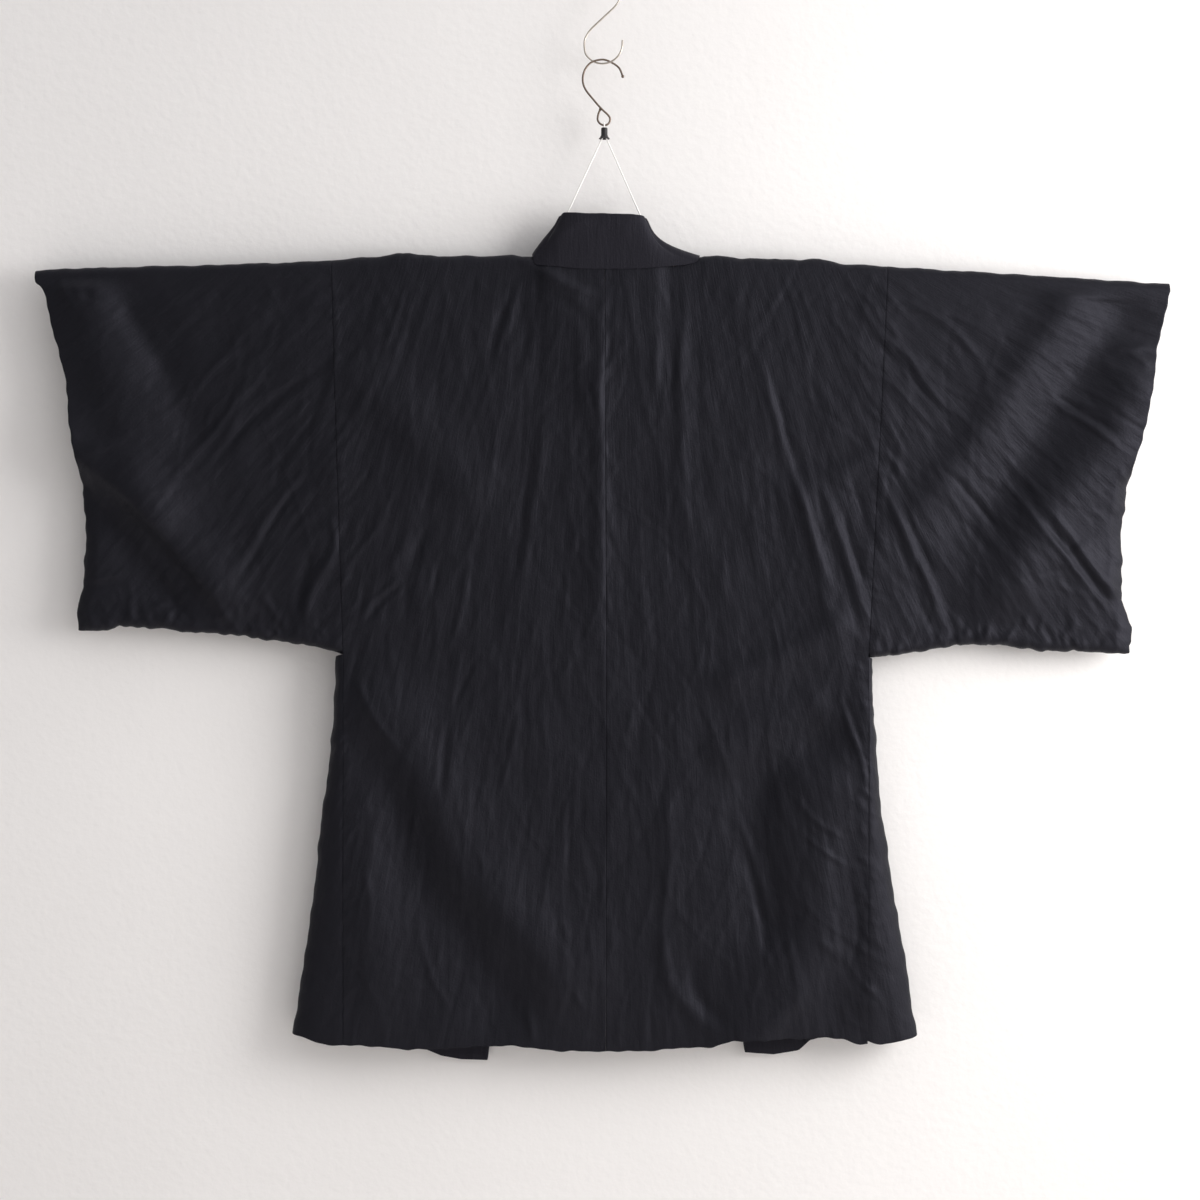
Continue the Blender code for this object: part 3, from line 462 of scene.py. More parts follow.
# The smaller creases of the back: width, height, and the points that each runs through, as (x, z).
CREASES = (
    (5.5, 2.4, (-98, -316), (-59, -338), (-26, -355), (-3, -361)),
    (8, -1.6, (-70, -353), (-35, -373), (-14, -397), (-8, -453)),
    (8, 1.7, (-3, -353), (-2.5, -475), (-3, -609), (-5, -742)), (4, -1.2, (10, -397), (3, -453), (2, -503)),
    (3, -1, (-18, -453), (-6, -503)), (5, 1.2, (60, -397), (58, -470)),
    (7, 1.5, (93, -347), (86, -447), (88, -598), (97, -642)), (4, -0.9, (80, -408), (75, -475)),
    (5, 1.2, (136, -342), (169, -408), (199, -520), (230, -620), (244, -698)),
    (5, -1.2, (152, -364), (180, -436), (208, -531), (225, -587)),
    (4, 0.9, (210, -353), (225, -442), (233, -492)), (3, 0.9, (269, -342), (299, -370), (311, -397)),
    (3.5, 1, (253, -381), (286, -431), (308, -453)), (3, 0.8, (275, -403), (305, -442)),
    (14, -2, (180, -553), (236, -544), (295, -528)), (10, 1.4, (253, -562), (286, -544), (306, -531)),
    (6, 1.8, (216, -564), (230, -620), (244, -664), (258, -698)),
    (7, 2.2, (244, -570), (258, -620), (286, -698), (294, -731)),
    (4, -1.5, (264, -587), (275, -637), (294, -692)), (5, -1.2, (275, -559), (292, -620)),
    (5, -1.2, (-101, -347), (-120, -403), (-126, -436)), (6, -1, (-81, -386), (-90, -436)),
    (4, 1, (-92, -342), (-112, -414)), (5, 1.2, (-70, -464), (-68, -531), (-81, -620), (-92, -698)),
    (4, -0.9, (-79, -520), (-90, -609), (-101, -676)), (7, -1.6, (-193, -609), (-215, -664), (-220, -720)),
    (7, 1.6, (-209, -620), (-243, -676)), (3, 1.3, (-224, -672), (-254, -698), (-270, -720)),
    (3, -1.2, (-221, -678), (-250, -705), (-266, -727)), (3, 1, (-265, -498), (-279, -520), (-288, -536)),
    (3, -1, (-257, -553), (-275, -578), (-287, -592)), (3.5, 1.2, (-243, -609), (-268, -640), (-285, -664)),
    (4, 1.3, (-148, -653), (-157, -709), (-170, -754)), (3.5, -1, (-181, -653), (-190, -698)),
    (4, 1.5, (-273, -784), (-252, -830), (-223, -868)), (4, -1.2, (-173, -841), (-181, -918)),
    (4, 1, (-165, -837), (-171, -909)), (3.5, -0.9, (-140, -760), (-167, -818)),
    (3, 0.9, (-91, -818), (-108, -888), (-115, -918)), (3.5, 0.9, (32, -818), (27, -848)),
    (5, 1.3, (70, -906), (73, -988), (65, -1058)), (8, 2, (65, -1048), (73, -1117), (108, -1165), (138, -1178)),
    (8, -1.8, (97, -1087), (102, -1132), (132, -1164)), (5, 1.2, (149, -936), (167, -988), (185, -1047)),
    (6, -1.6, (161, -977), (179, -1071), (181, -1094)),
    (4, 1.7, (260, -801), (273, -836), (287, -877), (290, -918)),
    (4, -1.3, (269, -809), (282, -848), (295, -893)), (3, 1, (219, -953), (244, -976), (273, -994)),
    (3.5, 1.1, (208, -909), (236, -943), (269, -963)), (6, 1.5, (237, -1071), (260, -1094)),
    (10, 1.6, (226, -1123), (203, -1152), (179, -1173)), (4, 1.2, (-82, -1152), (-76, -1188)),
    (4, 1.1, (-32, -1129), (-20, -1154)), (4, -1, (275, -1009), (282, -1065), (273, -1110)),
    (4, 1, (-204, -1065), (-190, -1115), (-168, -1154)), (4, 0.9, (-265, -987), (-257, -1037), (-262, -1087)),
    (12, -2, (-538, -356), (-523, -386), (-501, -420), (-474, -456)), (7, -2, (-574, -338), (-569, -372)),
    (5, 1.6, (-601, -336), (-597, -356), (-582, -377)),
    (9, -2.6, (-575, -553), (-538, -590), (-493, -639), (-456, -683), (-429, -709)),
    (4, -1.9, (-304, -436), (-345, -461), (-390, -498), (-418, -531), (-435, -556)),
    (5, 1.3, (-306, -449), (-339, -471), (-380, -506), (-408, -540)),
    (3.5, -1.5, (-312, -486), (-345, -528), (-367, -553)), (4, 1, (-308, -498), (-337, -533), (-359, -562)),
    (4, -2.1, (-315, -550), (-352, -590), (-390, -653), (-412, -695)),
    (5, 1.2, (-326, -551), (-362, -592), (-397, -649)), (3.5, -1.3, (-313, -575), (-334, -605), (-356, -634)),
    (6, 2.2, (-293, -642), (-323, -687), (-334, -728)), (4, 1.5, (-301, -605), (-298, -642), (-318, -672)),
    (6, -1.8, (-318, -634), (-334, -679), (-338, -715)),
    (3, 0.9, (-404, -464), (-434, -486), (-441, -516)), (6, 1.4, (-593, -494), (-565, -487), (-541, -479)),
    (6, 1.3, (-577, -534), (-554, -530), (-530, -523)), (6, -1.3, (-584, -516), (-560, -512), (-535, -502)),
    (4, 1, (-560, -664), (-538, -642)), (3, 1, (-577, -677), (-530, -669)),
    (3, -0.9, (-573, -684), (-533, -680)), (4, 1.5, (-526, -698), (-522, -722)),
    (4, 1.3, (-493, -705), (-484, -725)), (4, 1.4, (-421, -705), (-414, -727)),
    (5, 1.5, (-380, -693), (-365, -711), (-354, -731)), (4, 1.3, (-453, -716), (-433, -719), (-413, -711)),
    (10, -2, (561, -598), (568, -628), (553, -661)),
    (2.5, -1.3, (423, -349), (479, -362), (523, -366), (609, -371)),
    (2.5, 0.8, (442, -343), (492, -354), (536, -361), (614, -365)),
    (4, 1.3, (319, -361), (349, -372), (383, -394), (408, -420), (434, -453)),
    (3.5, 1.5, (314, -411), (338, -427), (349, -445), (375, -479), (386, -490)),
    (3.5, 1.3, (312, -450), (327, -464), (353, -494), (367, -509)),
    (3, -1, (313, -422), (334, -439), (346, -456), (368, -487)),
    (4, 1.4, (308, -490), (323, -516), (334, -539)), (4, 1.2, (308, -531), (323, -545), (331, -561)),
    (5, 2.5, (305, -564), (323, -598), (345, -650), (364, -687), (384, -742)),
    (4, -1.5, (317, -607), (334, -653), (351, -698), (371, -745)),
    (4, -1.3, (331, -592), (351, -637), (372, -676)), (12, -2, (373, -695), (400, -726)),
    (3, -1.3, (372, -550), (397, -572), (423, -601), (445, -631)),
    (3.5, 0.9, (380, -544), (405, -567), (431, -595)),
    (4, 1.9, (445, -564), (464, -590), (494, -628), (523, -664), (561, -712)),
    (4, 1.9, (479, -587), (509, -617), (539, -657), (572, -696)),
    (5, -2.8, (486, -609), (518, -644), (548, -683), (569, -707)),
    (4, 1.9, (494, -475), (523, -494), (545, -509), (572, -531)),
    (3.5, -1.5, (500, -471), (531, -490), (553, -504), (575, -521)), (4, 1.6, (583, -423), (605, -439)),
    (4, 1.3, (609, -416), (583, -420), (561, -421)), (4, 1.5, (570, -554), (583, -569)),
    (4, 1.5, (417, -742), (433, -729)), (4, 1.4, (442, -742), (462, -728)), (4, 1.2, (397, -749), (406, -731)),
    (5, 1.4, (509, -745), (525, -720)),
)  # fmt: skip


def smooth(t):
    t = np.clip(t, 0.0, 1.0)
    return t * t * (3 - 2 * t)


def read(table, at):
    """The values of a two-column table at some places. The tables run either way."""
    rows = sorted(table)
    return np.interp(at, [row[0] for row in rows], [row[1] for row in rows])


def top_lift(x):
    """How far the cloth stands up off the rod."""
    ripple = np.sin(x / 5.3 + 2 * np.sin(x / 31)) * np.sin(x / 17 + 1) + np.sin(x / 9 + np.sin(x / 23))
    return read(TOP_LIFT, x) + 0.45 * (ripple + 1) * smooth((np.abs(x) - 100) / 30)


def fold_height(folds, x, z):
    total = np.zeros(np.broadcast(x, z).shape)
    for height, left, right, *path in folds:
        line = np.array(curve_through(path, 3))
        run = np.concatenate([[0], np.cumsum(np.hypot(*np.diff(line, axis=0).T))])
        nearest, width, share = np.full(total.shape, 1e9), np.ones(total.shape), np.zeros(total.shape)
        for k, (x0, z0) in enumerate(line[:-1]):
            dx, dz = line[k + 1] - (x0, z0)
            length = np.hypot(dx, dz)
            t = np.clip(((x - x0) * dx + (z - z0) * dz) / length**2, 0, 1)
            ox, oz = x - x0 - t * dx, z - z0 - t * dz
            away = np.hypot(ox, oz)
            closer = away < nearest
            nearest = np.where(closer, away, nearest)
            width = np.where(closer, np.where(oz * dx > ox * dz, right, left), width)
            share = np.where(closer, (run[k] + t * length) / run[-1], share)
        total += height * np.exp(-((nearest / width) ** 2)) * smooth(np.minimum(share, 1 - share) / 0.16)
    return total


def depth(side, x, z, back):
    """How far the back, or a front, stands from the plane of the rod."""
    below = rod_z(x) - z
    on_body = OVER_ROD + 5.5 * smooth(below / 170) + 4.5 * smooth((below - 350) / 520)
    bottom = below / (rod_z(x) - read(SLEEVE_BOTTOM[side], np.abs(x)))
    in_sleeve = OVER_ROD + 3.5 * smooth(below / 150) - 4.0 * smooth((bottom - 0.72) / 0.28)
    share = smooth((np.abs(x) - read(SIDE_SEAM[side], z)) / 90) * (z >= ARMPIT_Z[side] - 1)
    value = between(on_body, in_sleeve, share)
    if back:
        value = value + NECK_EASE * (1 - smooth((np.abs(x) - 56) / 20)) * (1 - smooth(below / 200))
    near_foot = 1 - share * smooth((bottom - 0.9) / 0.1)
    folds = fold_height(BACK_FOLDS if back else FRONT_FOLDS, x, z)
    return value + folds * smooth(below / 16) * near_foot


# The relief of the cloth: a height map on squares of 1.5 mm. u is x, and v is the distance down the cloth from the
# middle of the half turn over the rod, over 0 down the back and under 0 down the front.
CELL, REACH_U, REACH_V = 1.5, 660.0, 930.0
DAB_STEP, DAB_SHARE = 0.45, 0.254  # a crease is dabbed on at every 0.45 of its width, and its dabs add up to 1
HALF_TURN = pi * OVER_ROD
relief = np.zeros((int(2 * REACH_V / CELL) + 1, int(2 * REACH_U / CELL) + 1))
chance = np.random.default_rng(31)
BODY_PULL = 620  # how far over the rod the place is that the body is drawn from
# The sleeves are drawn from these places, as their distances outwards and above.
SLEEVE_PULL = {-1: (261, 530), 1: (-150, 90)}


def down_to(x, z):
    """v at a height on the back. On the front it has the other sign."""
    return HALF_TURN / 2 + rod_z(x) - z


def window(u, v, reach):
    """The part of the relief round a place, and how far each of its squares is from there."""
    c0, r0 = int((u - reach + REACH_U) / CELL), int((v - reach + REACH_V) / CELL)
    c1, r1 = c0 + int(2 * reach / CELL) + 2, r0 + int(2 * reach / CELL) + 2
    c0, r0, c1, r1 = max(c0, 0), max(r0, 0), min(c1, relief.shape[1]), min(r1, relief.shape[0])
    du = np.arange(c0, c1) * CELL - REACH_U - u
    dv = np.arange(r0, r1) * CELL - REACH_V - v
    return relief[r0:r1, c0:c1], du[None, :], dv[:, None]


def crease(path, width, height):
    """A soft ridge or trough along a path of (u, v), which tapers at both ends."""
    line = np.array(curve_through(path, 12))
    run = np.concatenate([[0], np.cumsum(np.hypot(*np.diff(line, axis=0).T))])
    for at in np.arange(0, run[-1], width * DAB_STEP):
        taper = min(1.0, 0.15 + at / (0.28 * run[-1]), 0.15 + (run[-1] - at) / (0.28 * run[-1]))
        part, du, dv = window(np.interp(at, run, line[:, 0]), np.interp(at, run, line[:, 1]), 2.6 * width)
        part += height * taper * DAB_SHARE * np.exp(-(du**2 + dv**2) / width**2)


def crinkle(u, v, lean, half_length, width, height, bend):
    """One short crinkle with a sharp crest, which runs at an angle to v and curves a little."""
    part, du, dv = window(u, v, half_length * 1.25)
    along = du * sin(lean) + dv * cos(lean)
    across = du * cos(lean) - dv * sin(lean) - bend * along**2
    part += height * np.exp(-((across**2 / width**2 + 0.02) ** 0.75) - np.abs(along / half_length) ** 3 * 2)


def soft_noise(size, seed):
    """Smooth unit noise over the relief, with lumps of about that size."""
    field = np.fft.rfft2(np.random.default_rng(seed).standard_normal(relief.shape))
    fu = np.fft.rfftfreq(relief.shape[1], CELL)[None, :]
    fv = np.fft.fftfreq(relief.shape[0], CELL)[:, None]
    field = np.fft.irfft2(field * np.exp(-(fu**2 + fv**2) * (pi * size) ** 2 / 4), relief.shape)
    return field / field.std()


def pull(u, v):
    """The way that the cloth is drawn, as its lean from straight down, how freely it wanders from that, and how
    strongly it is crinkled."""
    side = 1 if u > 0 else -1
    drop = abs(v)
    body = np.arctan2(u, drop + BODY_PULL)
    sleeve = np.arctan2(u + side * SLEEVE_PULL[side][0], drop + SLEEVE_PULL[side][1])
    share = float(smooth((abs(u) - 235) / 90)) * float(smooth((470 - drop) / 60))
    smoother = float(smooth((-u - 430) / 80))  # towards the left cuff
    return float(between(body, sleeve, share)), 0.2 + 0.12 * share, 1 + share * (0.45 - 0.15 * side - smoother)


def lay_crinkles(count, lengths, widths, heights, spread):
    """Lays crinkles at random places, most of them near the way that the cloth is drawn."""
    for _ in range(count):
        u, v = chance.uniform(-640, 640), chance.uniform(-915, 915)
        lean, wander, gain = pull(u, v)
        lean = lean * np.sign(v) + chance.normal(0, wander * spread)
        size = chance.uniform(*lengths)
        gain = max(gain, 1.1) if size < 60 else gain
        height = gain * chance.uniform(*heights) * (1 if chance.random() < 0.6 else -0.8)
        crinkle(u, v, lean, size, chance.uniform(*widths), height, chance.normal(0, 0.0025))


lay_crinkles(1300, (80, 240), (2.6, 5.0), (0.22, 0.6), 0.25)
lay_crinkles(3600, (30, 100), (2.2, 3.4), (0.12, 0.36), 0.4)
lay_crinkles(9000, (10, 30), (2.0, 3.0), (0.07, 0.25), 0.8)
relief += 0.1 * soft_noise(9, 5) + 0.5 * soft_noise(45, 6)
for width, height, *path in CREASES:
    path = [(x, down_to(x, z)) for x, z in path]
    crease(path, width, 1.15 * height)
    # The layer behind is creased with it, a little aside.
    shift = chance.uniform(-9, 9)
    crease([(u + shift, -v) for u, v in path], width * 1.2, height * 0.7)
# The cloth dips a little towards each seam and is drawn up into small puckers by the stitches.
for side in (-1, 1):
    seam = [(side * read(SIDE_SEAM[side], z), down_to(side * 300, z)) for z in np.linspace(-345, -1175, 9)]
    crease(seam, 3.2, -0.25)
    for _ in range(150):
        z = chance.uniform(-1190, -345)
        u, v = side * read(SIDE_SEAM[side], z) + chance.normal(0, 6), down_to(side * 300, z)
        crinkle(u, v, side * chance.uniform(0.5, 1.5), chance.uniform(7, 15), 2.6, chance.uniform(0.3, 0.9), 0)
seam = [(read(CENTRE_SEAM, z), down_to(0, z)) for z in np.linspace(-345, -1190, 9)]
crease(seam, 2.6, -0.3)
for _ in range(120):
    v = chance.uniform(20, 870)
    crinkle(chance.normal(3, 7), v, chance.normal(0, 0.35), chance.uniform(7, 16), 2.4, chance.uniform(0.1, 0.35), 0)
# So are the foot of each sleeve and its cuff.
for side in (-1, 1):
    for _ in range(170):
        u = side * chance.uniform(300, 572)
        v = down_to(u, read(SLEEVE_BOTTOM[side], abs(u))) - abs(chance.normal(0, 14))
        length, height = chance.uniform(7, 26), chance.uniform(0.2, 0.8)
        crinkle(u, v, chance.normal(0, 0.5), length, 2.6, height, 0)
        crinkle(u + 3, -v, chance.normal(0, 0.5), length, 2.6, 0.8 * height, 0)


def relief_at(u, v):
    """The height of the relief at some places."""
    c = np.clip((u + REACH_U) / CELL, 0, relief.shape[1] - 1.001)
    r = np.clip((v + REACH_V) / CELL, 0, relief.shape[0] - 1.001)
    c0, r0 = c.astype(int), r.astype(int)
    fc, fr = c - c0, r - r0
    low = relief[r0, c0] * (1 - fc) + relief[r0, c0 + 1] * fc
    high = relief[r0 + 1, c0] * (1 - fc) + relief[r0 + 1, c0 + 1] * fc
    return low * (1 - fr) + high * fr


def wobble(at, size, seed):
    """A wandering edge, within about 1 of its line, which turns every size or so."""
    at, draw = np.asarray(at, float), np.random.default_rng(seed)
    return sum(np.sin(at * 2 * pi / (size * k) + draw.uniform(0, 6.3)) for k in (0.61, 1, 1.7)) / 2


def spaced(length, step, edges):
    """Distances from 0 to a length about a step apart, an even number of gaps, drawn closer at edges 0 and 1."""
    fine = [0.0, 0.35, 0.95, 2.05]
    first = fine if 0 in edges else [0.0]
    last = [length - d for d in fine[::-1]] if 1 in edges else [length]
    gaps = max(2, round((last[0] - first[-1]) / step))
    if (gaps + len(first) + len(last)) % 2:
        gaps += 1
    return np.array(first + list(np.linspace(first[-1], last[0], gaps + 1)[1:-1]) + last)


def marked(shape, *spots):
    """A grid of flags that are set at some spots."""
    flags = np.zeros(shape, bool)
    for spot in spots:
        flags[spot] = True
    return flags


def thin_towards(distance):
    """The wall narrows to a rounded edge over its last millimetre."""
    return np.sqrt(np.clip(1 - (1 - np.clip(distance, 0, 1)) ** 2, 0.35, 1))


class Cloth:
    """A sheet of cloth: grids of points through its middle, made into a closed wall with half as many inside."""

    def __init__(self, way):
        self.way = way
        self.points, self.u, self.v, self.thin, self.own, self.square, self.grids = [], [], [], [], [], [], []
        self.count = 0

    def add(self, points, u, v, edge, square=(), own=1.0):
        """Adds rows of points. edge is their distance from the nearest cut edge, square lists the axes that the wall
        keeps square to and where, and own is 0 where the relief is that of the cloth behind."""
        shape = points.shape[:-1]
        self.points.append(points.reshape(-1, 3))
        for kept, values in ((self.u, u), (self.v, v), (self.thin, thin_towards(edge)), (self.own, own)):
            kept.append(np.broadcast_to(values, shape).reshape(-1).astype(float))
        flags = np.ones(shape + (3,))
        for axis, where in square:
            flags[..., axis][where] = 0
        self.square.append(flags.reshape(-1, 3))
        numbers = np.arange(self.count, self.count + points[..., 0].size).reshape(shape)
        self.count += numbers.size
        return numbers

    def mesh(self, name, wall, strength, finish):
        points, square = np.concatenate(self.points), np.concatenate(self.square)
        u, v, thin, own = (np.concatenate(part) for part in (self.u, self.v, self.thin, self.own))
        fine = np.concatenate([self.quads(grid) for grid in self.grids])
        normals = np.zeros_like(points)
        area = np.cross(points[fine[:, 2]] - points[fine[:, 0]], points[fine[:, 3]] - points[fine[:, 1]])
        for k in range(4):
            np.add.at(normals, fine[:, k], area)
        normals *= square
        normals /= np.maximum(np.linalg.norm(normals, axis=1), 1e-9)[:, None]
        rise = between(relief_at(u, -v), relief_at(u, v), own) * strength
        near_rod = smooth((np.abs(v) - HALF_TURN / 2 - 4) / 25)
        rise = np.where(rise < 0, rise * between(0.15, 1, near_rod), rise * between(0.6, 1, near_rod))
        middle = points + normals * rise[:, None]
        half = (wall / 2 * thin)[:, None]
        coarse = np.concatenate([self.quads(grid[::2, ::2]) for grid in self.grids])
        kept = np.unique(coarse)
        inside = np.full(len(points), -1)
        inside[kept] = len(points) + np.arange(len(kept))
        spots = np.concatenate([middle + normals * half, (middle - normals * half)[kept]])
        # Only the points that a face uses are kept.
        used = np.zeros(len(spots), bool)
        used[fine] = used[inside[coarse]] = True
        number = np.cumsum(used) - 1
        faces = [tuple(face) for face in number[fine].tolist()]
        faces += [tuple(face) for face in number[inside[coarse]][:, ::-1].tolist()]
        rounded = len(faces)
        halfway = {}
        for grid in self.grids:
            for a, m, b in (
                (grid[::2, :-1:2], grid[::2, 1::2], grid[::2, 2::2]),
                (grid[:-1:2, ::2], grid[1::2, ::2], grid[2::2, ::2]),
            ):
                for p, q, r in zip(a.ravel().tolist(), m.ravel().tolist(), b.ravel().tolist()):
                    halfway[p, r] = halfway[r, p] = q
        sides = set()
        for a, b, c, d in coarse.tolist():
            sides.update(((a, b), (b, c), (c, d), (d, a)))
        for a, b in sides:
            if (b, a) not in sides:
                a, m, b, c, d = number[[a, halfway[a, b], b, inside[a], inside[b]]].tolist()
                faces += [(m, a, c), (m, c, d), (b, m, d)]
        mesh = bpy.data.meshes.new(name)
        mesh.from_pydata((spots[used] * MM).tolist(), [], faces)
        mesh.polygons.foreach_set("use_smooth", np.arange(len(faces)) < rounded)
        mesh.set_sharp_from_angle(angle=0.9)
        # Round the place that the cloth is drawn to, one way across the pull and one along it, in metres.
        across, along = self.way(np.concatenate([u, u[kept]])[used], np.concatenate([v, v[kept]])[used])
        corners = np.zeros(len(mesh.loops), int)
        mesh.loops.foreach_get("vertex_index", corners)
        flow = mesh.uv_layers.new(name="flow")
        flow.uv.foreach_set("vector", (np.stack([across, along], 1)[corners] * MM).ravel().astype(np.float32))
        mesh.materials.append(finish)
        mesh.validate()  # where a sleeve's last rows meet, one side face would be there twice
        mesh.update()
        return mesh

    @staticmethod
    def quads(grid):
        corners = (grid[:-1, :-1], grid[:-1, 1:], grid[1:, 1:], grid[1:, :-1])
        return np.stack([corner.ravel() for corner in corners], 1)


def weave_of(name, light, dark):
    """Crepe of cotton: matt and nearly black, crinkled along the pull, with a pebbled face and a faint bloom."""
    finish, tree, at = new_finish(name)
    flow = add_node(tree, "ShaderNodeTexCoord").outputs["UV"]
    # The crinkles are about 3 mm apart and 40 mm long, and some run astray. The threads are too fine to show, so the
    # pebbles of the crepe are drawn 2.4 mm across.
    scale = (1 / (2.8 * MM), 1 / (30 * MM), 1)
    crinkles = add_node(tree, "ShaderNodeMapping", {"Vector": flow, "Scale": scale})
    feeds = {"Vector": crinkles, "Scale": 1.0, "Detail": 2.0, "Distortion": 0.7}
    crinkles = add_node(tree, "ShaderNodeTexNoise", feeds)
    pebbles = add_node(tree, "ShaderNodeTexNoise", {"Vector": at, "Scale": 1 / (2.4 * MM), "Detail": 3.0})
    low = add_node(tree, "ShaderNodeMath", {0: pebbles, 1: 0.7}, operation="MULTIPLY")
    face = add_node(tree, "ShaderNodeMath", {0: crinkles, 1: low}, operation="ADD")
    # The dye has taken unevenly, in clouds about 90 mm across. The crests of the crinkles and pebbles are painted paler
    # and their hollows darker, as painted highlight and painted shade, and the crests are a little glossier.
    clouds = add_node(tree, "ShaderNodeTexNoise", {"Vector": at, "Scale": 1 / (90 * MM), "Detail": 3.0})
    # Painted highlight on the crests of the relief and painted shade in its hollows.
    crest_highlight = add_node(tree, "ShaderNodeMapRange", {"Value": face, "From Min": 0.45, "From Max": 0.95})
    shade = add_node(tree, "ShaderNodeMath", {0: clouds, 1: crest_highlight}, operation="ADD")
    shade = add_node(tree, "ShaderNodeMath", {0: shade, 1: 0.5}, operation="MULTIPLY")
    matt = add_node(tree, "ShaderNodeMapRange", {"Value": crest_highlight, "To Min": 0.66, "To Max": 0.56})
    cotton = {"Roughness": matt, "Specular IOR Level": 0.25, "Specular Tint": linear("DCDAF0")}
    bloom = {"Sheen Weight": 0.02, "Sheen Roughness": 0.5, "Sheen Tint": linear("8F9BC4")}
    close_finish(tree, surface(tree, shade, (dark, light), face, 1.0, 0.39, {**cotton, **bloom}))
    return finish


crepe = weave_of("black cotton crepe", "141417", "0B0B0E")


BODY_REACH = 900  # from where it is drawn to its middle


def body_way(u, v):
    """Where a place of the body lies across and along the pull."""
    return np.arctan2(u, np.abs(v) + BODY_PULL) * BODY_REACH, np.hypot(u, np.abs(v) + BODY_PULL)


# The points of the cloth are this far apart across, down the back and down a front. From the rod to the armpit, and
# from there to the hem, is about HALF.
ACROSS, BACK_STEP, FRONT_STEP = 2.3, 2.4, 4.0
HALF = 430


def body_length(side):
    """One length: its back, its half turn over the rod from the neck outwards, and its front."""
    cloth = Cloth(body_way)
    neck, top = NECK_HALF[side], float(read(SIDE_SEAM[side], ROD_MIDDLE_Z))
    inner, outer = spaced(neck, ACROSS, (0,)), spaced(top - neck, ACROSS, (1,))
    out = np.concatenate([inner, neck + outer[1:]])
    at_neck, across = len(inner) - 1, out / top
    guess = side * out
    upper, lower = spaced(HALF, BACK_STEP, ()) / HALF, spaced(HALF, BACK_STEP, (1,)) / HALF
    start = rod_z(guess) - NECK_DIP * np.clip((neck - out) / 12, 0, 1)
    hem = read(BACK_HEM[side], np.abs(guess)) + 0.7 * wobble(guess, 36, 3)
    armpit = np.full_like(guess, ARMPIT_Z[side])
    z = np.concatenate([between(start, armpit, upper[:, None]), between(armpit, hem, lower[1:, None])])
    centre = read(CENTRE_SEAM, z) + side * SEAM_GAP / 2
    x = between(centre, side * (read(SIDE_SEAM[side], z) - SEAM_GAP / 2), across)
    points = np.stack([x, -depth(side, x, z, True), z], -1)
    # At each seam the allowances are pressed one way, so that only the edge on their side is rounded.
    pressed = np.minimum(out, top - out + PRESSED) if side > 0 else np.minimum(out + PRESSED, top - out)
    edge = np.minimum(pressed[None, :], z - hem[None, :])
    edge[0] = np.minimum(edge[0], np.where(np.arange(len(out)) < at_neck, 0.4, 9))
    ends = marked(z.shape, np.s_[:, [0, -1]], (0, at_neck))
    foot = marked(z.shape, -1, np.s_[0, : at_neck + 1])
    back = cloth.add(points, x, down_to(x, z), edge, ((0, ends), (2, foot)))
    # The front runs on from the same columns, outwards from the neck.
    share = (out[at_neck:] - neck) / (top - neck)
    rows = [spaced(HALF, FRONT_STEP, ()) / HALF, spaced(HALF, FRONT_STEP, (1,)) / HALF]
    guess_hem = between(read(FRONT_EDGE[side], -1200), read(FRONT_SIDE_SEAM[side], -1200), share)
    hem = read(FRONT_HEM[side], guess_hem) + 0.7 * wobble(guess_hem, 36, 4)
    start = rod_z(side * between(neck, top, share))
    armpit = np.full_like(start, ARMPIT_Z[side])
    z = np.concatenate([between(start, armpit, rows[0][:, None]), between(armpit, hem, rows[1][1:, None])])
    upper_part = (np.arange(len(z)) < len(rows[0]))[:, None]
    seam = np.where(upper_part, read(SIDE_SEAM[side], z), read(FRONT_SIDE_SEAM[side], z)) - SEAM_GAP / 2
    near = read(FRONT_EDGE[side], z)
    x = side * between(near, seam, share)
    front = np.stack([x, depth(side, x, z, False), z], -1)
    turns = np.arange(1, 12)[:, None] / 12
    arc_x = between(points[0, at_neck:, 0], front[0, :, 0], turns)
    lift = top_lift(arc_x)
    angle = pi * (1 - turns)
    arc = [arc_x, OVER_ROD * np.cos(angle), rod_z(arc_x) + (OVER_ROD + lift) * np.sin(angle)]
    arc = np.stack([np.broadcast_to(part, arc_x.shape) for part in arc], -1)
    both = np.concatenate([arc, front])
    v = np.concatenate([HALF_TURN * (0.5 - turns) + 0 * arc_x, -down_to(x, z)])
    width = np.abs(seam - near)
    edge = np.minimum(np.minimum(share * width, (1 - share) * width), z - hem[None, :])
    edge = np.concatenate([np.minimum(share, 1 - share)[None, :] * (top - neck) + 0 * arc_x, edge])
    ends, foot = marked(edge.shape, np.s_[:, [0, -1]]), marked(edge.shape, -1)
    ahead = cloth.add(both, both[..., 0], v, edge, ((0, ends), (2, foot)))
    over = np.concatenate([back[:1, at_neck:], ahead])
    cloth.grids = [back[:, ::-side], over[:, ::side]]
    return cloth


for side, name in ((-1, "body_left"), (1, "body_right")):
    mesh = body_length(side).mesh(name + "_cloth", CLOTH_WALL, 1.0, crepe)
    panel = place(name + "_cloth", mesh, [name])


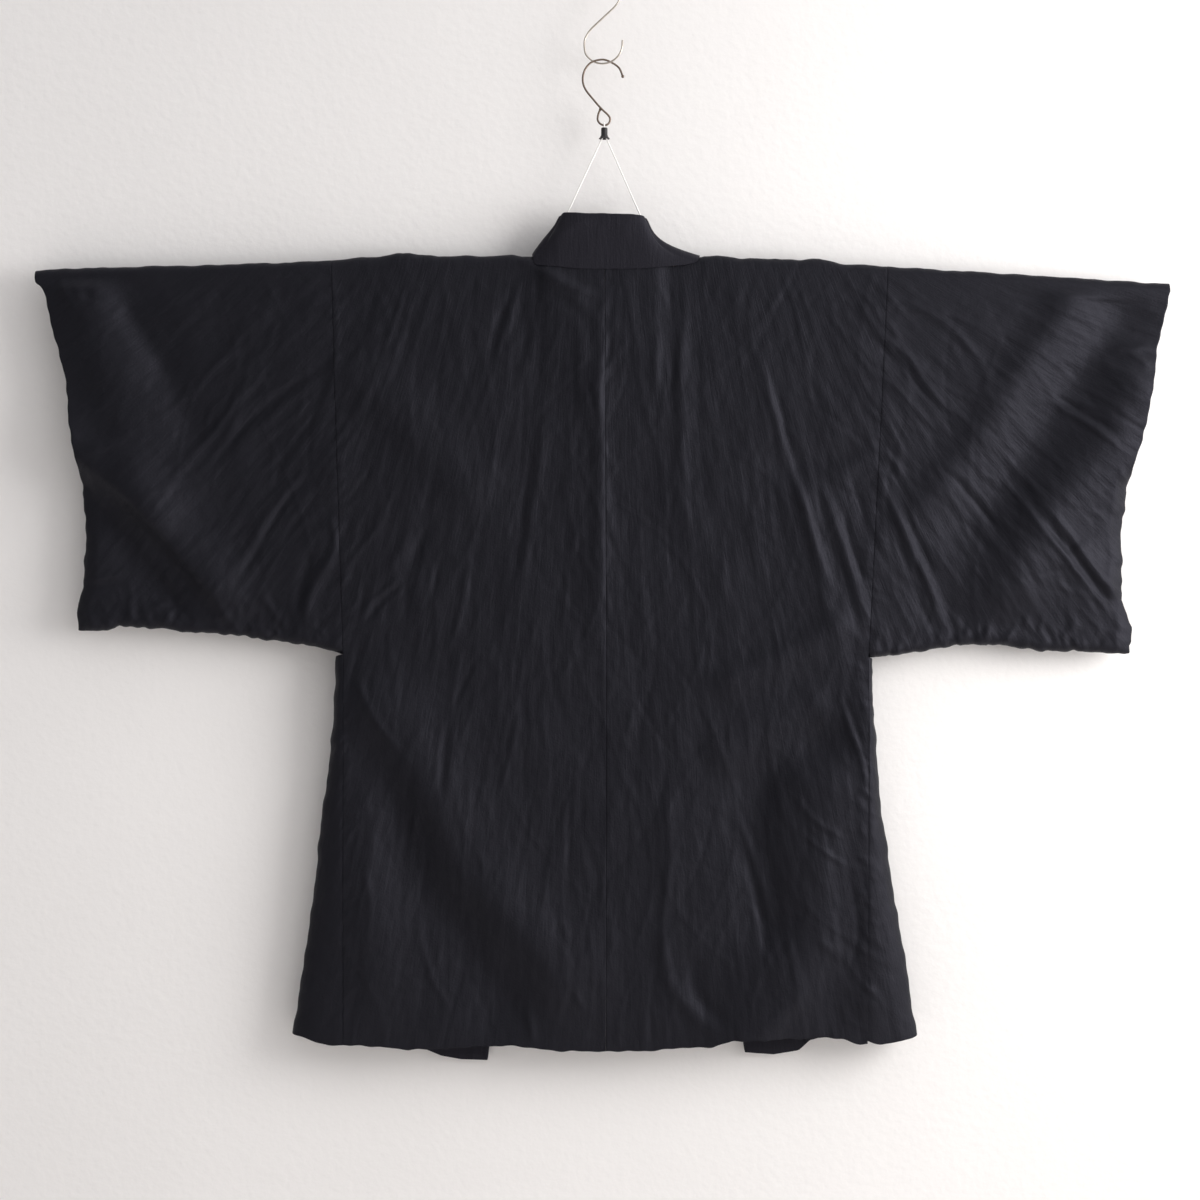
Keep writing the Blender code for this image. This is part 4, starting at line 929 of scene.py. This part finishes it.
# ---- The sleeves ----
# One length of the same cloth for each, folded over the rod and sewn along the bottom and up the cuff, which stays
# open above for the hand. Each is a flat tube, open along the armhole too and sewn there to the body.
SLEEVE_WIDTH, SLEEVE_DEPTH = 290, 410  # roughly
SLEEVE_REACH = {-1: 1000, 1: 440}  # from where it is drawn to its middle
SLEEVE_FOOT = 7.0  # height of the half turn under a sleeve
CUFF_STOP_Z = -575.0  # below this the cuff is sewn shut
CUFF = {
    -1: (
        (-330, 628), (-338, 631), (-346, 630), (-350.5, 623), (-368, 617), (-397, 611), (-447, 596.6),
        (-514, 589), (-564, 579), (-606, 574.4), (-648, 575), (-684, 577), (-702, 582), (-731, 584),
    ),
    1: (
        (-353, 631), (-381, 624), (-431, 613), (-456, 610), (-490, 603), (-520, 597.5), (-540, 590),
        (-564, 584.3), (-614, 576.5), (-698, 576.5), (-712, 581), (-729, 588.5), (-745, 586), (-755, 579),
    ),
}


def sleeve_way(side):
    """A function that says the same for a sleeve, which is drawn its own way."""

    def way(u, v):
        out, down = np.abs(u) + SLEEVE_PULL[side][0], np.abs(v) + SLEEVE_PULL[side][1]
        return np.arctan2(out, down) * SLEEVE_REACH[side], np.hypot(out, down)

    return way


def sleeve_tube(side):
    cloth = Cloth(sleeve_way(side))
    across = spaced(SLEEVE_WIDTH, BACK_STEP, (0, 1))[:, None] / SLEEVE_WIDTH
    wall = spaced(SLEEVE_DEPTH, BACK_STEP, ()) / SLEEVE_DEPTH
    quarter = pi / 2 * np.arange(7) / 6
    down = np.concatenate([np.zeros(6), wall, np.ones(6)])[None, :]
    first, last = 6, 6 + len(wall) - 1  # the wall's own places
    x = side * between(302, 585, across) + 0 * down
    for _ in range(5):
        foot = read(SLEEVE_BOTTOM[side], np.abs(x)) + SLEEVE_FOOT + CLOTH_WALL / 2
        foot = foot + 0.9 * wobble(x, 26, 8) * smooth((np.abs(x) - 297) / 25)
        z = between(rod_z(x), foot, down)
        near, far = read(SIDE_SEAM[side], z) + SEAM_GAP / 2, read(CUFF[side], z) + 0.7 * wobble(z, 31, 9)
        x = side * between(near, far, across)
    width = far - near
    to_cuff, sewn = (1 - across) * width, smooth((CUFF_STOP_Z - z) / 12)
    # Where the cuff is sewn, the two walls come together at its edge.
    shut = smooth((CUFF_STOP_Z - z) / 30 + 1)
    flat = between(1, np.sqrt(np.clip(to_cuff / 14, 0, 1)), shut)
    at_end = marked(z.shape, (-1, z[-1] < CUFF_STOP_Z))
    grids = []
    for back in (True, False):
        y = depth(side, x, z, back) * flat
        spot_x, spot_z, v = x.copy(), z.copy(), down_to(x, z)
        turn = pi / 2 + quarter[:6]
        y[:, :6] = -OVER_ROD * np.cos(turn)[None, :]
        lift = top_lift(x[:, :6])
        spot_z[:, :6] = rod_z(x[:, :6]) + (OVER_ROD + lift) * np.sin(turn)[None, :]
        v[:, :6] = (quarter[:6] * OVER_ROD)[None, :]
        y[:, last + 1 :] *= np.cos(quarter[1:])[None, :]
        spot_z[:, last + 1 :] -= SLEEVE_FOOT * np.sin(quarter[1:])[None, :]
        v[:, last + 1 :] += SLEEVE_FOOT * quarter[None, 1:]
        y[at_end] = 0
        points = np.stack([spot_x, -y if back else y, spot_z], -1)
        edge = np.minimum(across * width + (PRESSED if side < 0 else 0), to_cuff + 9 * sewn)
        ends = marked(z.shape, 0, (-1, ~at_end[-1]))
        from_foot = np.clip((spot_z - read(SLEEVE_BOTTOM[side], np.abs(x))) / 22, 0, 1)
        own = smooth(np.minimum(from_foot, to_cuff / 22 + (1 - sewn)))
        part = (points, spot_x, v if back else -v, edge)
        grids.append(cloth.add(*part, ((0, ends),), 1.0 if back else own))
    behind, ahead = grids
    ahead[-1][at_end[-1]] = behind[-1][at_end[-1]]
    ring = np.concatenate([behind, ahead[:, -2:0:-1], behind[:, :1]], axis=1)
    cloth.grids = [ring[::side]]
    return cloth


for side, name in ((-1, "sleeve_left"), (1, "sleeve_right")):
    mesh = sleeve_tube(side).mesh(name + "_cloth", CLOTH_WALL, 1.0, crepe)
    sleeve = place(name + "_cloth", mesh, [name])


# ---- The gussets ----
# A narrow tapered strip of the same cloth down each side below the sleeve, sewn to the back and to the front. It
# folds along the outline.
SIDE_FOLD = {
    -1: ((-764, 298), (-831, 299.5), (-915, 309.5), (-1032, 324), (-1099, 333), (-1149, 340.5), (-1180, 345.5)),
    1: ((-764, 299), (-831, 301), (-932, 309.5), (-1032, 325), (-1082, 334), (-1149, 344), (-1182, 349.5)),
}
GUSSET_LENGTH = 420  # roughly
GUSSET_LEAST = 5.0  # its width under the armpit


def gusset_strip(side):
    cloth = Cloth(body_way)
    down = spaced(GUSSET_LENGTH, 2.6, (0, 1))[:, None] / GUSSET_LENGTH
    lines = []
    for back, power in ((True, 1.8), (False, 2)):
        # The places across are even along the fold's round profile.
        dense = 1 - (1 - np.linspace(0, 1, 400)) ** 2
        run = np.cumsum(np.hypot(np.diff(dense * 40), np.diff(12 * np.sqrt(1 - dense**power))))
        share = np.interp(np.linspace(0, 1, 23), np.concatenate([[0], run]) / run[-1], dense)[None, :]
        seam = (SIDE_SEAM if back else FRONT_SIDE_SEAM)[side]
        hem_x = between(read(seam, -1185), read(SIDE_FOLD[side], -1182), share)
        hem = read(BACK_HEM[side], hem_x)
        if not back:
            hem = between(read(FRONT_HEM[side], hem_x), hem, share**4)
        hem = hem + 0.7 * wobble(hem_x, 36, 3)
        z = between(ARMPIT_Z[side] - SEAM_GAP + 2.0 * (1 - share**2), hem, down)
        inner = read(seam, z) + SEAM_GAP / 2
        least = read(SIDE_SEAM[side], z) + GUSSET_LEAST
        outer = np.maximum(read(SIDE_FOLD[side], z) + 0.6 * wobble(z, 40, 11) - CLOTH_WALL / 2, least)
        x = side * between(inner, outer, share)
        reach = depth(side, side * inner, z, back) * np.sqrt(1 - share**power)
        edge = share * (outer - inner) + (PRESSED if side < 0 else 0)
        edge = np.minimum(np.minimum(edge, z - hem), ARMPIT_Z[side] - z)
        v = down_to(x, z)
        points = np.stack([x, -reach if back else reach, z], -1)
        square = ((0, marked(z.shape, np.s_[:, 0])), (2, marked(z.shape, [0, -1])))
        lines.append(cloth.add(points, x, v if back else -v, edge, square, 1.0 if back else 1 - share))
    strip = np.concatenate([lines[0], lines[1][:, -2::-1]], axis=1)
    cloth.grids = [strip[:, ::-side]]
    return cloth


for side, name in ((-1, "gusset_left"), (1, "gusset_right")):
    mesh = gusset_strip(side).mesh(name + "_cloth", CLOTH_WALL, 0.8, crepe)
    strip = place(name + "_cloth", mesh, [name])


# ---- The collar ----
# A long straight band of the same crepe, folded in half along its length. It stands up round the back of the neck,
# bends over the shoulders and lies flat down both fronts to the hem, sewn to the neck and to the front edges.
COLLAR_WALL, COLLAR_BEND = 1.8, 1.4
COLLAR_COVERS = 4.5  # how far the free edge reaches past the seam on the fronts
COLLAR_WIDTH = {-1: (57.5, 71.0), 1: (63.0, 66.5)}  # below the shoulder and at the hem
FRONT_TOP, FRONT_ROWS = 45, 33  # how far below the rod the sections down each front start, and how many they are
SIDE_POINTS, FOLD_POINTS = 25, 5  # points of a section on each side of the fold, and round it
# From the middle of the back neck over the shoulder: the seam, the fold on top and the free edge, each as x, y and
# the height over the rod.
NECK_ROWS = (
    (0.0, -11.5, -1.6, 0.0, -13.6, 53.0, 0.0, -13.7, -7.4),
    (25.0, -11.5, -1.6, 20.0, -13.6, 53.6, 29.0, -13.7, -6.6),
    (48.0, -11.5, -1.3, 38.5, -12.4, 55.6, 52.0, -13.5, -4.0),
    (64.5, -9.8, -0.2, 43.8, -9.2, 55.0, 67.5, -11.5, -2.6),
    (75.2, -7.8, 1.2, 46.0, -6.0, 51.6, 75.5, -9.8, -0.6),
    (75.3, -5.6, 5.6, 47.4, -3.5, 49.0, 77.5, -7.0, 7.2),
    (75.4, 0.0, 8.1, 47.8, 1.5, 46.5, 78.0, 0.0, 10.8),
    (75.8, 6.0, 5.6, 45.0, 7.5, 42.5, 78.5, 9.0, 6.4),
    (76.0, 8.2, -2.0, 39.0, 11.5, 32.0, 80.0, 11.2, -3.4),
    (79.0, 8.6, -20.0, 30.0, 12.0, -2.0, 83.0, 12.2, -21.5),
)
# On the right shoulder the fold is a little lower, the free edge spreads out and up, row by row, and the band
# above it bows in.
FOLD_DROP = (0, 0.6, 2.8, 3.2, 2, 1, 0, 0, 0, 0)
FLARE = (0, 0, 2, 9, 14, 16, 16, 10, 4, 0)
FLARE_UP = (0, 0, 0, 1.5, 3, 0, 0, 0, 0, 0)


def collar_sections(side):
    """Sections from the back neck to one front hem. Each runs from the seam up to the fold and to the free edge."""
    scale = NECK_HALF[side] / NECK_HALF[-1]
    corners = []
    lines = []
    for row, drop in zip(NECK_ROWS, FOLD_DROP):
        low = between(1, scale, smooth((48 - row[5]) / 40))
        spots = [np.array(row[k : k + 3]) * (side * by, 1, 1) for k, by in ((0, scale), (3, low), (6, scale))]
        for spot in spots:
            spot[2] += rod_z(spot[0])
        spots[1][2] -= drop if side > 0 else 0
        lines.append(spots)
    for k, (seam, fold, edge) in enumerate(lines):
        before = lines[k - 1][1] if k else fold * (-1, 1, 1) - (side, 0, 0)
        after = lines[min(k + 1, len(lines) - 1)][1]
        up = fold - (seam + edge) / 2
        up /= np.linalg.norm(up)
        out = np.cross(up, after - before)
        out *= np.sign(out @ (edge - seam)) / np.linalg.norm(out)
        if k == 0:
            out = np.array([0.0, -1.0, 0.0])
        corners.append((seam, fold - COLLAR_BEND * (up + out), fold, fold - COLLAR_BEND * (up - out), edge))
    for down in np.linspace(0, 1, FRONT_ROWS):
        width = between(*COLLAR_WIDTH[side], down)
        bend, spots = COLLAR_BEND / width, []
        for share, out in ((0, 0), (1 - bend, 0.1), (1, 1.5), (1 - bend, 2.9), (-COLLAR_COVERS / width, 3.3)):
            x = side * (between(90, 200, down) - width * share)
            for _ in range(3):
                z = between(rod_z(0) - FRONT_TOP, read(FRONT_HEM[side], abs(x)), down)
                x = side * (read(FRONT_EDGE[side], z) - 0.4 - width * share)
            spots.append(np.array([x, float(depth(side, x, z, False)) + out, float(z)]))
        corners.append(spots)
    sections = []
    flares = [(flare, up) if side > 0 else (0, 0) for flare, up in zip(FLARE, FLARE_UP)] + [(0, 0)] * FRONT_ROWS
    outer = SIDE_POINTS + FOLD_POINTS
    shares = [k / (SIDE_POINTS - 1) for k in range(SIDE_POINTS)]
    down = np.concatenate([np.linspace(1, 0, SIDE_POINTS), np.zeros(FOLD_POINTS), np.linspace(0, 1, SIDE_POINTS)])
    for (seam, inside, fold, outside, edge), (flare, up) in zip(corners, flares):
        middle = (inside + outside) / 2
        section = [between(seam, inside, share) for share in shares]
        for turn in pi / (FOLD_POINTS + 1) * np.arange(1, FOLD_POINTS + 1):
            section.append(middle + (inside - middle) * cos(turn) + (fold - middle) * sin(turn))
        section += [between(outside, edge, share) for share in shares]
        section = np.array(section)
        section[:, 0] -= 0.5 * flare * np.sin(pi * down)
        section[outer:, 0] += flare * down[outer:] ** 5
        section[outer:, 2] += up * down[outer:] ** 5
        sections.append(section)
    # Down the front every point of a section follows the hem.
    for section, down in zip(sections[-FRONT_ROWS:], np.linspace(0, 1, FRONT_ROWS)):
        section[:, 2] = between(rod_z(0) - FRONT_TOP, read(FRONT_HEM[side], abs(section[:, 0])), down)
    return sections


def collar_band():
    cloth = Cloth(lambda u, v: (u, v))
    left, right = collar_sections(-1), collar_sections(1)
    points = np.array(curve_through(left[:0:-1] + right, 8))
    x, z = points[..., 0], points[..., 2]
    # How far each point is from the band's ends, about 3.4 mm a row, and from its long edges, which are turned in.
    along, across = np.arange(z.shape[0]), np.arange(z.shape[1])
    length = np.minimum(along, along[::-1])[:, None] * 3.4
    rim = np.minimum(across, across[::-1])[None, :] * 0.3
    band = cloth.add(points, x, z - rod_z(x), np.minimum(length, rim), ((2, marked(z.shape, [0, -1])),))
    cloth.grids = [band]
    return cloth


# The collar is the body's crepe painted a little lighter, as a painted highlight for the brighter light that it
# catches.
band = weave_of("black cotton crepe of the collar", "1B1A1E", "121115")
mesh = collar_band().mesh("collar_band", COLLAR_WALL, 0.4, band)
collar = place("collar_band", mesh, ["collar"])


# ---- The wall and the floor ----
# An off-white papered wall, 30 mm behind the rod, and a pale floor a little below the picture. Neither is part of
# the jacket.
WALL_Y, WALL_REACH, FLOOR_Z = 30.0, 4000.0, -1900.0


def plane(name, corners, finish):
    mesh = bpy.data.meshes.new(name)
    mesh.from_pydata([tuple(c * MM for c in corner) for corner in corners], [], [(0, 1, 2, 3)])
    mesh.materials.append(finish)
    made = bpy.data.objects.new(name, mesh)
    bpy.context.scene.collection.objects.link(made)
    return made


# Embossed wallpaper: matt, with soft lumps a few millimetres across and a faint unevenness. It is plain in front
# and lets light and sight through from behind.
wall_finish, tree, at = new_finish("off-white embossed wallpaper")
lumps = add_node(tree, "ShaderNodeTexNoise", {"Vector": at, "Scale": 1 / (9 * MM), "Detail": 3.0})
patches = add_node(tree, "ShaderNodeTexNoise", {"Vector": at, "Scale": 1 / (400 * MM), "Detail": 3.0})
paper = surface(tree, patches, ("F4F1EF", "EAE7E5"), lumps, 0.35, 1.2, {"Roughness": 0.9})
clear = add_node(tree, "ShaderNodeBsdfTransparent")
behind = add_node(tree, "ShaderNodeNewGeometry").outputs["Backfacing"]
shadow = add_node(tree, "ShaderNodeLightPath").outputs["Is Shadow Ray"]
hidden = add_node(tree, "ShaderNodeMath", {0: behind, 1: shadow}, operation="MAXIMUM")
both = add_node(tree, "ShaderNodeMixShader", {0: hidden, 1: paper, 2: clear})
close_finish(tree, both)
r, y, z = WALL_REACH, WALL_Y, FLOOR_Z
plane("wall", ((-r, y, z), (r, y, z), (r, y, 2500), (-r, y, 2500)), wall_finish)

floor_finish, tree, at = new_finish("pale matt floor")
cloud = add_node(tree, "ShaderNodeTexNoise", {"Vector": at, "Scale": 1 / (120 * MM), "Detail": 4.0})
colour = add_node(tree, "ShaderNodeMix", {"Factor": cloud}, data_type="RGBA")
colour.inputs[6].default_value, colour.inputs[7].default_value = linear("E4E1DE"), linear("D8D4D0")
close_finish(tree, add_node(tree, "ShaderNodeBsdfPrincipled", {"Base Color": colour.outputs[2], "Roughness": 0.8}))
plane("floor", ((-r, -r, z), (r, -r, z), (r, r, z), (-r, r, z)), floor_finish)


# ---- Light and camera ----
# Soft daylight from a large window on the right and in front, and a paler fill from all round. A lamp behind lights
# the hidden side.
def soft_lamp(name, spot, aim, power, size, tint):
    lamp = bpy.data.lights.new(name, "AREA")
    lamp.energy, lamp.shape, lamp.size, lamp.color = power, "DISK", size, linear(tint)[:3]
    made = bpy.data.objects.new(name, lamp)
    made.location = spot
    made.visible_camera = False
    made.rotation_euler = (Vector(aim) - Vector(spot)).to_track_quat("-Z", "Y").to_euler()
    bpy.context.scene.collection.objects.link(made)


soft_lamp("window", (1.45, -0.9, -0.4), (0.1, 0.0, -0.7), 23.0, 1.1, "FFFEFD")
soft_lamp("behind", (0.6, 3.2, 0.2), (0.0, 0.0, -0.7), 60.0, 2.0, "FFFFFF")
# The room is brighter to the right, and darker straight ahead and behind.
world = bpy.data.worlds.new("pale room")
bpy.context.scene.world = world
world.use_nodes = True
tree = world.node_tree
tree.nodes.clear()
way = add_node(tree, "ShaderNodeTexCoord").outputs["Generated"]
way = add_node(tree, "ShaderNodeSeparateXYZ", {0: way}).outputs
ahead = add_node(tree, "ShaderNodeMath", {0: way["Y"]}, operation="ABSOLUTE")
ahead = add_node(tree, "ShaderNodeMapRange", {"Value": ahead, "To Min": 1.5, "To Max": 0.6})
aside = add_node(tree, "ShaderNodeMapRange", {"Value": way["X"], "From Min": -1.0, "To Min": 0.0, "To Max": 1.0})
aside = add_node(tree, "ShaderNodeMath", {0: aside, 1: 2.0}, operation="POWER")
aside = add_node(tree, "ShaderNodeMapRange", {"Value": aside, "To Min": 0.32, "To Max": 2.05})
glow = add_node(tree, "ShaderNodeMath", {0: ahead, 1: aside}, operation="MULTIPLY")
room = add_node(tree, "ShaderNodeBackground", {"Color": linear("F2F2F4"), "Strength": glow})
add_node(tree, "ShaderNodeOutputWorld", {"Surface": room})
bpy.context.scene.view_settings.view_transform = "Standard"

eye = bpy.data.cameras.new("camera")
eye.lens, eye.sensor_width = 80.86, 36.0
camera = bpy.data.objects.new("camera", eye)
camera.location = (-0.0033, -3.0, -0.698)
camera.rotation_euler = (pi / 2, 0.0, 0.0)
bpy.context.scene.collection.objects.link(camera)
bpy.context.scene.camera = camera
